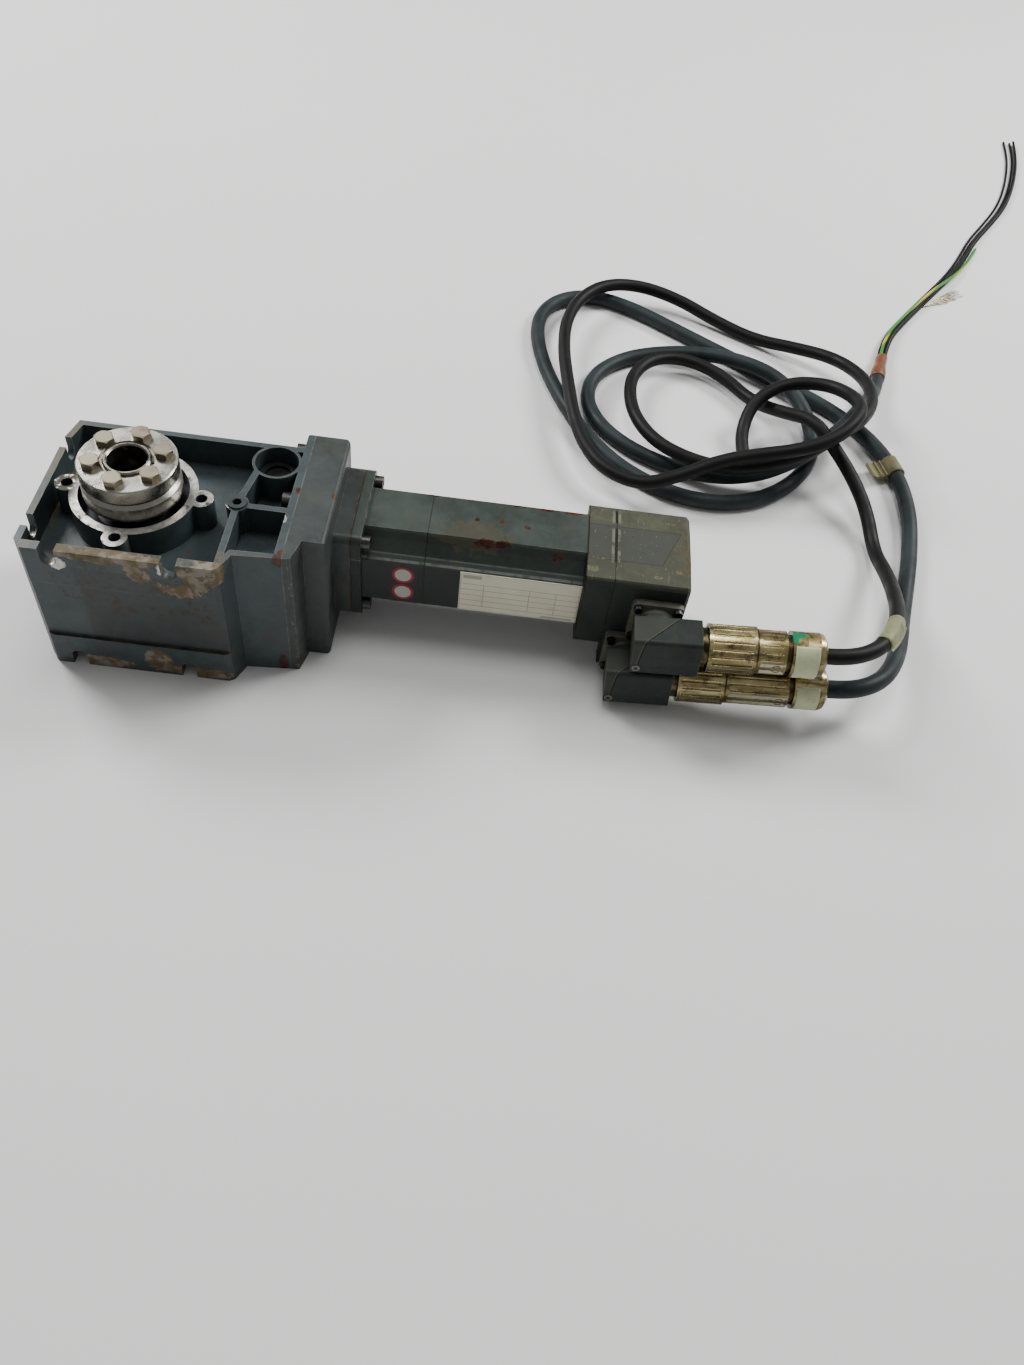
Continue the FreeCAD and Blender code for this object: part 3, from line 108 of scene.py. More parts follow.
def camera():
    """The view from above the front, slightly rolled."""
    azimuth, elevation, roll = math.radians(2.64), math.radians(51.74), math.radians(8.94)
    ahead = Vector((math.sin(azimuth) * math.cos(elevation), math.cos(azimuth) * math.cos(elevation),
                    -math.sin(elevation)))
    right = ahead.cross(Vector((0, 0, 1))).normalized()
    up = right.cross(ahead)
    side = math.cos(roll) * right + math.sin(roll) * up
    top = math.cos(roll) * up - math.sin(roll) * right
    data = bpy.data.cameras.new("camera")
    data.lens, data.sensor_width = 29.04, 36
    data.clip_start, data.clip_end = 0.01, 20
    turn = Matrix((side, top, -ahead)).transposed().to_4x4()
    view = scene_object("camera", data)
    eye = (0.20971, -0.45925, 0.49728)
    view.matrix_world = Matrix.Translation(eye) @ turn
    bpy.context.scene.camera = view


# ---------------- node materials

class Paint:
    """A material under construction: each method adds nodes and gives back a socket."""

    def __init__(self, name, metallic=0.0, specular=0.32):
        self.material = bpy.data.materials.new(name)
        self.material.use_nodes = True
        self.nodes, self.links = self.material.node_tree.nodes, self.material.node_tree.links
        self.shader = next(n for n in self.nodes if n.type == "BSDF_PRINCIPLED")
        self.shader.inputs["Metallic"].default_value = metallic
        self.shader.inputs["Specular IOR Level"].default_value = specular
        self.place = self.add("ShaderNodeTexCoord").outputs["Object"]
        split = self.add("ShaderNodeSeparateXYZ")
        self.links.new(self.place, split.inputs[0])
        self.x, self.y, self.z = split.outputs

    def add(self, kind, **settings):
        node = self.nodes.new(kind)
        for key, value in settings.items():
            setattr(node, key, value)
        return node

    def put(self, value, socket):
        if isinstance(value, bpy.types.NodeSocket):
            self.links.new(value, socket)
        else:
            socket.default_value = value

    def math(self, operation, *values):
        node = self.add("ShaderNodeMath", operation=operation)
        for value, socket in zip(values, node.inputs):
            self.put(value, socket)
        return node.outputs[0]

    def noise(self, scale, detail=4.0, roughness=0.55, at=None, distortion=0.0):
        node = self.add("ShaderNodeTexNoise")
        self.put(at or self.place, node.inputs["Vector"])
        for key, value in (("Scale", scale), ("Detail", detail), ("Roughness", roughness),
                           ("Distortion", distortion)):
            node.inputs[key].default_value = value
        return node.outputs["Fac"]

    def grain(self, axes, scales, detail=4.0, roughness=0.55):
        """Noise with its own scale along each of three axes."""
        at = self.add("ShaderNodeCombineXYZ")
        for axis, scale, socket in zip(axes, scales, at.inputs):
            self.put(self.times(axis, scale), socket)
        return self.noise(1.0, detail, roughness, at.outputs[0])

    def step(self, value, low, high, to_low=0.0, to_high=1.0):
        """Smooth change from to_low below low to to_high above high."""
        node = self.add("ShaderNodeMapRange", interpolation_type="SMOOTHSTEP")
        for key, number in zip(("Value", "From Min", "From Max", "To Min", "To Max"),
                               (value, low, high, to_low, to_high)):
            self.put(number, node.inputs[key])
        return node.outputs[0]

    def patches(self, scale, low, high, detail=4.0, roughness=0.55):
        """Mask of cloudy patches: noise that rises from 0 at low to 1 at high."""
        return self.step(self.noise(scale, detail, roughness), low, high)

    def mix(self, amount, first, second):
        node = self.add("ShaderNodeMix", data_type="RGBA")
        self.put(amount, node.inputs[0])
        for value, socket in ((first, node.inputs[6]), (second, node.inputs[7])):
            self.put(value if isinstance(value, bpy.types.NodeSocket) else (*value, 1.0), socket)
        return node.outputs[2]

    def plus(self, *values):
        return reduce(lambda a, b: self.math("ADD", a, b), values)

    def minus(self, first, second):
        return self.math("SUBTRACT", first, second)

    def times(self, *values):
        """Product: where all masks hold, or a mask at less than full strength."""
        return reduce(lambda a, b: self.math("MULTIPLY", a, b), values)

    def either(self, *masks):
        return reduce(lambda a, b: self.math("MAXIMUM", a, b), masks)

    def past(self, axis, start, end, most=1.0):
        """0 up to one place in millimetres along an axis, most beyond the other."""
        return self.step(axis, start * MM, end * MM, 0.0, most)

    def sheen(self, scale, smooth, rough):
        """Roughness that wanders between two values."""
        return self.step(self.noise(scale), 0.3, 0.7, smooth, rough)

    def distance(self, *offsets):
        return self.math("SQRT", self.plus(*[self.times(offset, offset) for offset in offsets]))

    def within(self, axis, low, high, soft=0.3):
        """1 between two places in millimetres along an axis, fading over soft."""
        return self.times(self.past(axis, low - soft, low), self.past(axis, high + soft, high))

    def spot(self, centre, size, ragged=0.35):
        """1 inside a ragged ellipsoid; centre and size are in millimetres."""
        far = self.distance(*[self.math("DIVIDE", self.minus(axis, at * MM), radius * MM)
                              for axis, at, radius in zip((self.x, self.y, self.z), centre, size)])
        rough = self.times(self.minus(self.noise(260, 5.0), 0.5), ragged * 4)
        return self.step(self.plus(far, rough), 0.85, 1.05, 1.0, 0.0)

    def spots(self, places, ragged=0.35):
        return self.either(*[self.spot(centre, size, ragged) for centre, size in places])

    def edges(self, radius=0.9, low=0.02, high=0.2):
        """1 on sharp edges, from how far a rounded normal turns away from the true one."""
        bevel = self.add("ShaderNodeBevel", samples=4)
        bevel.inputs["Radius"].default_value = radius * MM
        turn = self.add("ShaderNodeVectorMath", operation="DOT_PRODUCT")
        self.links.new(bevel.outputs[0], turn.inputs[0])
        self.links.new(self.add("ShaderNodeNewGeometry").outputs["True Normal"], turn.inputs[1])
        return self.step(turn.outputs["Value"], 1.0 - high, 1.0 - low, 1.0, 0.0)

    def plug_axis(self, name):
        """Distance along a connector's axis and height above it."""
        socket = SOCKETS[name]
        right = self.minus(self.x, socket.x)
        above = self.minus(self.z, socket.z)
        cosine, sine = math.cos(SWIVEL), math.sin(SWIVEL)
        along = self.plus(self.times(right, cosine), self.times(above, sine))
        up = self.minus(self.times(above, cosine), self.times(right, sine))
        return along, up

    def facing_up(self):
        split = self.add("ShaderNodeSeparateXYZ")
        self.links.new(self.add("ShaderNodeNewGeometry").outputs["True Normal"], split.inputs[0])
        return self.step(split.outputs["Z"], 0.85, 0.9)

    def finish(self, colour, roughness, height=None, depth=0.1, metallic=None):
        """Connects the shader; depth is the height's bump in millimetres."""
        self.put(colour, self.shader.inputs["Base Color"])
        self.put(roughness, self.shader.inputs["Roughness"])
        if metallic is not None:
            self.put(metallic, self.shader.inputs["Metallic"])
        if height is not None:
            bump = self.add("ShaderNodeBump")
            bump.inputs["Distance"].default_value = depth * MM
            self.put(height, bump.inputs["Height"])
            self.links.new(bump.outputs[0], self.shader.inputs["Normal"])
        return self.material


def shade(colour, factor):
    return tuple(c * factor for c in colour)


GREY_BLUE = (0.038, 0.052, 0.055)
GREY_GREEN = (0.038, 0.048, 0.041)
DIRTY_GREY = (0.058, 0.062, 0.040)
TAN, GLUE, GRIME = (0.13, 0.098, 0.045), (0.245, 0.212, 0.165), (0.010, 0.009, 0.007)
RUST, PALE_RUST = (0.030, 0.011, 0.006), (0.062, 0.024, 0.010)
BARE = (0.55, 0.54, 0.50)


def weathered(p, colour, wear=0.6, dirt=0.5, edge=0.2):
    """Old paint: cloudy tone, brown film, dark specks and rubbed edges. Gives colour and edge mask."""
    tone = p.mix(p.patches(22, 0.35, 0.68, 5.0), shade(colour, 0.78), shade(colour, 1.2))
    tone = p.mix(p.step(p.noise(140, 6.0, 0.7), 0.3, 0.75, 0.0, 0.6), tone, shade(colour, 1.5))
    film_and_painted_shade = p.times(p.step(p.noise(48, 6.0, 0.65, distortion=0.6), 0.52, 0.72), dirt)
    tone = p.mix(film_and_painted_shade, tone, (0.062, 0.053, 0.034))
    specks = p.step(p.noise(620, 3.0), 0.70, 0.76, 0.0, 0.75)
    tone = p.mix(specks, tone, GRIME)
    rubbed = p.times(p.edges(high=edge), p.patches(170, 0.33, 0.6, 5.0), wear)
    return p.mix(rubbed, tone, (0.20, 0.195, 0.155)), rubbed


def rusted(p, colour, rust, scale=300, pale_from=0.6):
    """The colour with rust where the mask is, dark and pale by turns."""
    return p.mix(rust, colour, p.mix(p.step(p.noise(scale), 0.4, pale_from), RUST, PALE_RUST))


def joint_line(p, axis, at, width=0.3):
    """Dark seam across an axis at a place in millimetres."""
    return p.within(axis, at - width, at + width, 0.15)


def housing_material():
    """Blue-grey cast housing with machined faces, glue and paint torn off the front, chips and rust."""
    p = Paint("cast_housing")
    colour, rubbed = weathered(p, GREY_BLUE, wear=0.75, dirt=0.45)
    top = p.facing_up()
    cast = p.noise(900, 3.0)

    tape = p.times(p.within(p.x, -20, 64, 2.0), p.within(p.z, -24, 37, 1.0), p.past(p.y, -50.5, -51.5))
    colour = p.mix(p.times(tape, 0.45), colour, (0.026, 0.024, 0.020))
    front = p.past(p.y, -47, -48.5)
    stains = p.times(p.patches(130, 0.52, 0.60, 6.0, 0.7), p.within(p.x, -30, 50, 8.0),
                    p.within(p.z, 4, 46, 8.0), front, 0.85)
    colour = p.mix(stains, colour, (0.034, 0.023, 0.012))
    torn = p.spots([((2, -54, 49), (34, 6, 6)), ((17, -54, 42), (9, 8, 11)), ((38, -54, 36), (16, 8, 13)),
                    ((55, -52, 44), (12, 9, 9)), ((-26, -54, 49), (12, 6, 4)), ((-20, -54, -44), (20, 8, 5)),
                    ((16, -54, -37), (9, 8, 10)), ((40, -54, -44), (22, 8, 5)), ((74, -42, 49), (14, 5, 3))],
                   0.3)
    left = p.spots([((33, -55, 37), (8, 8, 6)), ((26, -56, 40), (6, 6, 8))], 0.4)
    torn = p.times(torn, front, p.minus(1.0, left))
    glue = p.mix(p.patches(90, 0.42, 0.6, 5.0), TAN, GLUE)
    dark_glue = p.step(p.noise(150, 6.0, 0.7, distortion=0.5), 0.52, 0.62, 0.0, 0.8)
    glue = p.mix(dark_glue, glue, (0.070, 0.052, 0.026))
    colour = p.mix(p.times(torn, 0.9), colour, glue)

    rim = p.either(p.times(top, p.within(p.y, -55, -40, 2.0)), p.times(top, p.within(p.x, -53, -45, 1.0)))
    colour = p.mix(p.times(rim, p.patches(110, 0.42, 0.6, 5.0), 0.8), colour, (0.095, 0.078, 0.043))

    chips = p.spots([((-29, -54, 40), (5, 5, 5)), ((31, -54, 44), (5, 5, 5)), ((86, -8, 47), (3, 4, 8)),
                     ((50, -4, 49), (5, 2.5, 2)), ((-41, -12, 44), (4, 4, 8)), ((-47, -33, 42), (4, 5, 8))],
                    0.4)
    rust = p.spots([((93, -38, 48), (6, 6, 6)), ((-50, -40, 36), (3, 6, 9)), ((88, -40, -44), (3, 5, 9)),
                    ((91, 16, 49), (2, 3, 2))], 0.45)
    machined = p.times(top, p.past(p.distance(p.x, p.y), 45.8, 45.6), p.past(p.z, 48.5, 48.7))
    bright = p.either(machined, chips)
    metal = p.mix(p.patches(240, 0.4, 0.66, 5.0, 0.65), shade(BARE, 0.62), BARE)
    grubby = p.either(p.patches(110, 0.53, 0.62, 6.0, 0.7), p.past(p.x, -28, -36))
    grubby = p.times(machined, grubby, p.patches(420, 0.34, 0.48), 0.92)
    metal = p.mix(grubby, metal, p.mix(p.noise(260, 5.0), (0.016, 0.014, 0.009), (0.062, 0.057, 0.038)))
    colour = p.mix(bright, colour, metal)
    colour = rusted(p, colour, rust)
    painted, bare = p.mix(torn, (0.40,) * 3, (0.75,) * 3), p.mix(grubby, (0.36,) * 3, (0.7,) * 3)
    roughness = p.mix(bright, painted, bare)
    height = p.plus(p.times(cast, 0.5), p.times(torn, 1.2))
    height = p.minus(height, p.times(p.either(rubbed, chips), 0.8))
    clean = p.minus(bright, grubby)
    return p.finish(colour, roughness, height, 0.22, p.times(clean, 0.9))


def flange_material():
    p = Paint("cast_flange")
    colour, rubbed = weathered(p, (0.035, 0.043, 0.041), wear=0.7, dirt=0.35)
    rust = p.spots([((103, -39, 48), (5, 6, 5)), ((112, -29, 49), (3, 4, 3)), ((112.5, 16, 49), (2, 3, 2)),
                    ((100, -38, -42), (4, 5, 8))], 0.45)
    seam = p.times(joint_line(p, p.x, 123.3, 0.7), p.patches(160, 0.35, 0.55))
    colour = rusted(p, colour, rust)
    colour = p.mix(p.times(seam, 0.9), colour, (0.05, 0.026, 0.012))
    # Painted highlight: a pale vertical line on the flange's front.
    painted_highlight_streak = p.times(p.within(p.x, 95, 97, 0.8), p.past(p.y, -36, -38), p.patches(420, 0.55, 0.62, 5.0), 0.5)
    colour = p.mix(painted_highlight_streak, colour, (0.16, 0.17, 0.165))
    height = p.minus(p.times(p.noise(900, 3.0), 0.5), p.times(rubbed, 0.8))
    return p.finish(colour, p.sheen(60, 0.34, 0.5), height, 0.2)


def motor_material():
    """Grey-green motor paint: painted shade over the front and below the top face, painted highlight lines
    along the bevels, rusty on the ridge.
    """
    p = Paint("motor_paint", specular=0.25)
    colour, _ = weathered(p, GREY_GREEN, wear=0.6, dirt=0.4, edge=0.09)
    # Painted shade: the front face is darkened where shade falls.
    painted_front_shade = p.past(p.y, 1, -0.5, 0.8)
    colour = p.mix(painted_front_shade, colour, (0.020, 0.027, 0.025))
    # Painted shade: everything below the top face is darkened, the slope and the front most of all.
    colour = p.mix(p.past(p.z, 29.8, 29, 0.45), colour, (0.012, 0.016, 0.013))
    # Painted highlight: pale lines along the bevels between the top and the front.
    painted_bevel_highlight = p.either(p.within(p.z, 17.2, 17.8), p.times(p.within(p.z, 19.3, 19.6), 0.5))
    painted_bevel_highlight = p.times(painted_bevel_highlight, p.past(p.y, 8, 6), p.step(p.noise(190, 4.0), 0.30, 0.55, 0.3, 0.9))
    colour = p.mix(painted_bevel_highlight, colour, (0.115, 0.125, 0.115))
    brown = p.times(p.spot((196, 14, 31), (22, 14, 8), 0.5), 0.45)
    colour = p.mix(brown, colour, (0.075, 0.062, 0.034))
    rust = p.spots([((185, 9, 30), (4, 3, 4)), ((198, 10, 30), (4, 2.5, 3)), ((203, 12, 30), (6, 3, 4)),
                    ((213, 12, 30), (5, 2.5, 3)), ((247, 8, 29), (4.5, 4, 5)), ((211, 31, 31), (1.6, 2, 2)),
                    ((238, 47, 31), (7, 3, 3)), ((196, 30, 31), (1.5, 1.5, 2)), ((168, 47, 31), (5, 2, 2)),
                    ((219, 47, 31), (6, 2, 2)), ((255, 46, 31), (6, 2, 2)), ((227, 28, 31), (2.2, 2, 2))],
                   0.45)
    colour = rusted(p, colour, rust, 280, 0.62)
    seams = p.either(joint_line(p, p.x, 168.0), joint_line(p, p.x, 123.7, 0.35), joint_line(p, p.x, 264.1))
    colour = p.mix(p.times(seams, 0.85), colour, (0.018, 0.016, 0.012))
    height = p.times(p.noise(700, 3.0), 0.4)
    height = p.minus(height, p.either(seams, p.times(rust, 0.7)))
    return p.finish(colour, p.sheen(45, 0.3, 0.46), height, 0.25)


def cover_material():
    """Dirty rear casting: painted light and shade for a raised band on top, scrapes on top, brown blotches,
    painted shade on the front, two slits in its joint.
    """
    p = Paint("rear_casting", specular=0.22)
    colour, _ = weathered(p, DIRTY_GREY, wear=0.5, dirt=0.85, edge=0.12)
    mottled = p.step(p.noise(85, 6.0, 0.75, distortion=0.4), 0.36, 0.64)
    colour = p.mix(p.times(mottled, 0.65), colour, (0.046, 0.047, 0.030))
    top = p.past(p.z, 28, 28.5)
    # Painted light and shade: a lighter band with a darker border stands in for the raised rounded band on
    # top, which the shape lacks.
    slant = p.minus(p.x, p.times(p.y, 0.41))
    painted_band_highlight = p.times(p.within(p.y, 11.3, 39.2), p.past(slant, 305.3, 305), top)
    border = p.times(p.within(p.y, 10.7, 39.8), p.past(slant, 305.9, 305.6), top)
    colour = p.mix(p.times(border, 0.65), colour, (0.018, 0.017, 0.010))
    colour = p.mix(p.times(painted_band_highlight, 0.75), colour, (0.054, 0.058, 0.050))
    scraped = p.spots([((271, 11.3, 30), (6, 0.9, 2)), ((268, 3, 30), (4, 2.5, 2)), ((321, 8, 30), (3, 2, 2)),
                       ((308, 1.5, 30), (3, 1.3, 2)), ((314, 48, 30), (4, 1.2, 2))], 0.45)
    scraped = p.times(scraped, top, p.patches(420, 0.46, 0.56, 5.0, 0.7), 0.6)
    colour = p.mix(scraped, colour, (0.17, 0.155, 0.085))
    pits = p.times(p.patches(330, 0.60, 0.68, 4.0, 0.7), 0.7)
    colour = p.mix(pits, colour, (0.030, 0.028, 0.018))
    blotches = p.times(p.patches(150, 0.6, 0.67, 6.0, 0.7), p.within(p.x, 318, 330, 8.0))
    blotches = p.either(blotches, p.times(p.patches(120, 0.52, 0.6, 6.0, 0.7), p.within(p.x, 322, 329, 3.0)))
    colour = p.mix(p.times(blotches, 0.9), colour, (0.075, 0.047, 0.016))
    scratches = p.step(p.grain((p.x, p.y, p.z), (900, 160, 160)), 0.66, 0.7, 0.0, 0.7)
    colour = p.mix(scratches, colour, (0.16, 0.155, 0.12))
    # Painted shade: the front face is darkened.
    film_and_painted_shade = p.past(p.y, -4, -5.5)
    colour = p.mix(p.times(film_and_painted_shade, 0.85), colour, (0.012, 0.017, 0.016))
    opened = p.times(p.either(p.within(p.y, 10, 37, 1.5), p.within(p.y, 43, 54, 1.5)), top)
    lips = p.times(joint_line(p, p.x, 281.6, 2.6), opened, p.patches(140, 0.35, 0.55))
    colour = p.mix(p.times(lips, 0.6), colour, (0.19, 0.185, 0.13))
    slit = p.times(joint_line(p, p.x, 281.6, 0.8), opened)
    seams = p.either(slit, p.times(joint_line(p, p.x, 281.8, 0.2), 0.8), joint_line(p, p.x, 264.5, 0.25))
    colour = p.mix(seams, colour, (0.008, 0.008, 0.007))
    height = p.minus(p.times(p.noise(800, 4.0), 0.6), p.times(seams, 2.0))
    return p.finish(colour, p.sheen(60, 0.42, 0.62), height, 0.25)


def elbow_material(name, seam_at):
    """Dark die-cast elbow with a brass collar; seam_at is x - y of its slanting joint, in millimetres."""
    p = Paint("elbow_" + name, specular=0.14)
    colour, _ = weathered(p, (0.020, 0.025, 0.023), wear=0.5, dirt=0.4)
    slant = p.minus(p.minus(p.x, p.y), seam_at * MM)
    seam = p.past(p.math("ABSOLUTE", slant), 0.42, 0.18)
    lip = p.times(p.past(slant, -1.5, -0.4), p.past(slant, -0.2, -0.4))
    foot = p.past(slant, 0, -0.4)
    colour = p.mix(p.times(foot, 0.5), colour, (0.055, 0.057, 0.044))
    colour = p.mix(p.times(lip, 0.5), colour, (0.13, 0.13, 0.10))
    colour = p.mix(seam, colour, (0.004, 0.004, 0.004))
    collar = p.step(p.plug_axis(name)[0], ELBOW_END, ELBOW_END + 0.1 * MM)
    brass = p.mix(p.patches(150, 0.42, 0.6, 5.0), (0.04, 0.03, 0.014), (0.16, 0.135, 0.065))
    colour = p.mix(collar, colour, brass)
    height = p.minus(p.times(p.noise(900, 3.0), 0.4), p.times(seam, 2.0))
    return p.finish(colour, p.sheen(60, 0.36, 0.52), height, 0.2, p.times(collar, 0.8))


def socket_material():
    p = Paint("socket_base")
    colour, _ = weathered(p, (0.105, 0.106, 0.084), wear=0.6, dirt=0.7)
    height = p.times(p.noise(800, 4.0), 0.6)
    return p.finish(colour, p.sheen(60, 0.4, 0.6), height, 0.2)


def turned_steel(name, colour, stain=0.5, worn=0.5):
    """Steel turned about the Z axis: fine rings, brown stains and bright rubbed edges."""
    p = Paint(name, metallic=1.0)
    rings = p.grain((p.distance(p.x, p.y), p.y, p.z), (5200, 0, 5200), 3.0)
    tone = p.mix(rings, shade(colour, 0.72), shade(colour, 1.1))
    marks = p.times(p.patches(95, 0.53, 0.66, 6.0, 0.68), stain)
    tone = p.mix(marks, tone, (0.062, 0.046, 0.030))
    dots = p.step(p.noise(520, 3.0), 0.69, 0.73, 0.0, 0.85)
    tone = p.mix(dots, tone, (0.030, 0.014, 0.008))
    tone = p.mix(p.times(p.edges(0.6), worn), tone, (0.85, 0.83, 0.78))
    scratch = p.grain((p.x, p.y, p.z), (150, 1400, 400), 4.0, 0.7)
    height = p.plus(p.times(rings, 0.5), p.times(scratch, 0.5))
    roughness = p.plus(p.step(p.noise(70, 5.0), 0.35, 0.7, 0.2, 0.42), p.times(marks, 0.25))
    return p.finish(tone, roughness, height, 0.03, p.minus(1.0, p.either(marks, dots)))


def plain_steel(name, colour, roughness=(0.25, 0.45), stain=0.4, cloud=0.3):
    p = Paint(name, metallic=1.0)
    tone = p.mix(p.noise(330, 5.0), shade(colour, 1 - cloud), shade(colour, 1 + cloud / 2))
    tone = p.mix(p.times(p.patches(120, 0.54, 0.68, 6.0, 0.7), stain), tone, (0.10, 0.065, 0.03))
    tone = p.mix(p.times(p.edges(0.4), 0.6), tone, shade(colour, 1.6))
    return p.finish(tone, p.sheen(200, *roughness), p.noise(1500, 3.0), 0.03)


def brass_nickel(name):
    """Nickel worn through to brass: dark joints, darker below, bright ribs; one nut is stained green."""
    p = Paint("worn_nickel_" + name, metallic=0.95)
    along, up = p.plug_axis(name)
    base = p.mix(p.patches(70, 0.35, 0.65), (0.40, 0.32, 0.145), (0.64, 0.545, 0.29))
    streaks = p.grain((along, p.y, up), (45, 260, 260), 3.0, 0.5)
    base = p.mix(p.step(streaks, 0.50, 0.66, 0.0, 0.7), base, (0.075, 0.052, 0.020))
    blots = p.times(p.patches(190, 0.56, 0.64, 5.0, 0.65), 0.6)
    base = p.mix(blots, base, (0.060, 0.036, 0.014))
    base = p.mix(p.past(up, 11, 1, 0.78), base, (0.052, 0.043, 0.018))
    bright = p.times(p.edges(0.5, 0.01, 0.12), p.patches(160, 0.35, 0.55))
    base = p.mix(p.times(bright, 0.8), base, (0.80, 0.71, 0.48))
    start, neck = PLUG_START / MM, (PLUG_START + BARREL[name]) / MM
    joints = p.either(p.within(along, start - 0.7, start + 0.3), p.within(along, neck, neck + NECK / MM))
    base = p.mix(p.times(joints, 0.8), base, (0.035, 0.020, 0.008))
    if name == "feedback":
        green = p.spot((391, -24, 22.6), (5.5, 5, 4), 0.5)
        base = p.mix(green, base, (0.0, 0.17, 0.075))
        metal = p.step(green, 0.2, 0.8, 0.95, 0.0)
    else:
        metal = 0.95
    return p.finish(base, p.sheen(120, 0.18, 0.36), p.noise(300, 4.0), 0.05, metal)


def rubber(name, colour, dust, sheen=(0.42, 0.6), chalk=0.35):
    """Cable sheath: matt, with dust, rubbed lighter patches and a fine grain."""
    p = Paint(name, specular=0.2)
    tone = p.mix(p.patches(26, 0.36, 0.66, 5.0), shade(colour, 0.75), shade(colour, 1.25))
    tone = p.mix(p.times(p.patches(70, 0.54, 0.72, 6.0, 0.7), chalk), tone, dust)
    tone = p.mix(p.step(p.noise(700, 3.0), 0.7, 0.75, 0.0, 0.4), tone, dust)
    return p.finish(tone, p.step(p.noise(55, 5.0), 0.3, 0.7, *sheen), p.noise(1300, 4.0), 0.04)


def moulded(name, colour, stain=(0.06, 0.05, 0.03), amount=0.5, roughness=(0.4, 0.6)):
    p = Paint(name)
    tone = p.mix(p.noise(90, 5.0), shade(colour, 0.8), shade(colour, 1.15))
    tone = p.mix(p.times(p.patches(210, 0.5, 0.66, 6.0, 0.7), amount), tone, stain)
    return p.finish(tone, p.sheen(120, *roughness), p.noise(700, 4.0), 0.08)


def plate_material():
    """Cream plate ruled into blank fields, with two solid bars; it carries no words or marks."""
    p = Paint("blank_plate")
    x0, x1, z0, z1 = 190, 264, -16.5, 16.5
    columns = [x0 + (x1 - x0) * share for share in (0.2, 0.58, 0.8)]
    rows = [z0 + (z1 - z0) * k / 7 for k in range(1, 6)]
    ruled = p.within(p.z, rows[0], rows[-1])
    lines = p.either(*[p.within(p.z, row - 0.12, row + 0.12, 0.1) for row in rows],
                     *[p.times(p.within(p.x, c - 0.12, c + 0.12, 0.1), ruled) for c in columns])
    inside = p.times(p.within(p.x, x0 + 1, x1 - 1, 0.1), p.within(p.z, z0 + 1, z1 - 1, 0.1))
    border = p.minus(1.0, inside)
    fill = p.either(p.times(p.within(p.x, x0 + 2, x0 + 13), p.within(p.z, z1 - 4.6, z1 - 1.8)),
                    p.times(p.within(p.x, x1 - 22, x1 - 3), p.within(p.z, z0 + 1.4, z0 + 2.6)))
    cream = p.mix(p.noise(60, 5.0), (0.60, 0.585, 0.43), (0.72, 0.70, 0.55))
    cream = p.mix(p.step(p.noise(40, 6.0, 0.7), 0.55, 0.75, 0.0, 0.5), cream, (0.42, 0.40, 0.26))
    tone = p.mix(p.times(lines, 0.75), cream, (0.12, 0.12, 0.09))
    tone = p.mix(p.times(fill, 0.55), tone, (0.10, 0.10, 0.08))
    tone = p.mix(p.times(border, 0.35), tone, (0.25, 0.24, 0.16))
    return p.finish(tone, p.sheen(80, 0.32, 0.45), p.noise(500, 3.0), 0.03)


def sticker_material():
    """Dark sticker with two pale round fields in red rings, one above the other."""
    p = Paint("blank_sticker")
    tone = p.mix(p.noise(120, 4.0), (0.013, 0.010, 0.011), (0.028, 0.021, 0.023))
    for up in (7.2, -7.4):
        far = p.distance(p.minus(p.x, 155.5 * MM), p.minus(p.z, up * MM))
        tone = p.mix(p.past(far, 6.7, 6.5), tone, (0.30, 0.020, 0.020))
        tone = p.mix(p.past(far, 5.1, 4.9), tone, (0.42, 0.40, 0.37))
    scuff = p.step(p.noise(260, 6.0, 0.7), 0.6, 0.68, 0.0, 0.45)
    return p.finish(p.mix(scuff, tone, (0.10, 0.11, 0.11)), 0.38, p.noise(600, 3.0), 0.03)


def laminated(name, colour, pitch=0.5):
    """Stack of sheets along the motor's axis."""
    p = Paint(name, metallic=0.8)
    wave = p.math("SINE", p.times(p.x, math.tau / (pitch * MM)))
    tone = p.mix(p.step(wave, -0.6, 0.6), shade(colour, 0.6), colour)
    return p.finish(tone, p.sheen(90, 0.4, 0.6), wave, 0.05)


def wound_copper():
    p = Paint("enamelled_copper", metallic=0.7)
    sway = p.times(p.noise(200), 0.8 * MM)
    wave = p.math("SINE", p.times(p.plus(p.y, sway), math.tau / (0.9 * MM)))
    tone = p.mix(p.step(wave, -0.7, 0.7), (0.20, 0.06, 0.02), (0.55, 0.22, 0.08))
    return p.finish(tone, p.sheen(150, 0.25, 0.4), wave, 0.15)


def striped_core():
    """Green insulation with a yellow stripe along it."""
    p = Paint("green_yellow_core")
    side = p.minus(p.x, p.times(p.y, 0.62))
    wave = p.math("SINE", p.times(side, math.tau / (9 * MM)))
    tone = p.mix(p.step(wave, 0.35, 0.5), (0.05, 0.24, 0.025), (0.50, 0.45, 0.03))
    return p.finish(tone, p.sheen(150, 0.3, 0.45), p.noise(900, 3.0), 0.03)


# ---------------- meshes

def new_piece(name, data):
    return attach(scene_object(name, data), "housing")


def mesh_object(name, bm, material, smooth=True):
    bmesh.ops.recalc_face_normals(bm, faces=bm.faces)
    mesh = bpy.data.meshes.new(name)
    bm.to_mesh(mesh)
    bm.free()
    if smooth:
        mesh.shade_smooth()
    mesh.materials.append(material)
    return new_piece(name, mesh)


def axes_along(direction):
    """Rotation whose X axis is the direction and whose Z axis is as near to upright as can be."""
    x = direction.normalized()
    y = Vector((0, 0, 1)).cross(x).normalized()
    return Matrix((x, y, x.cross(y))).transposed().to_4x4()


def place_at(point, direction):
    return Matrix.Translation(point) @ axes_along(direction)


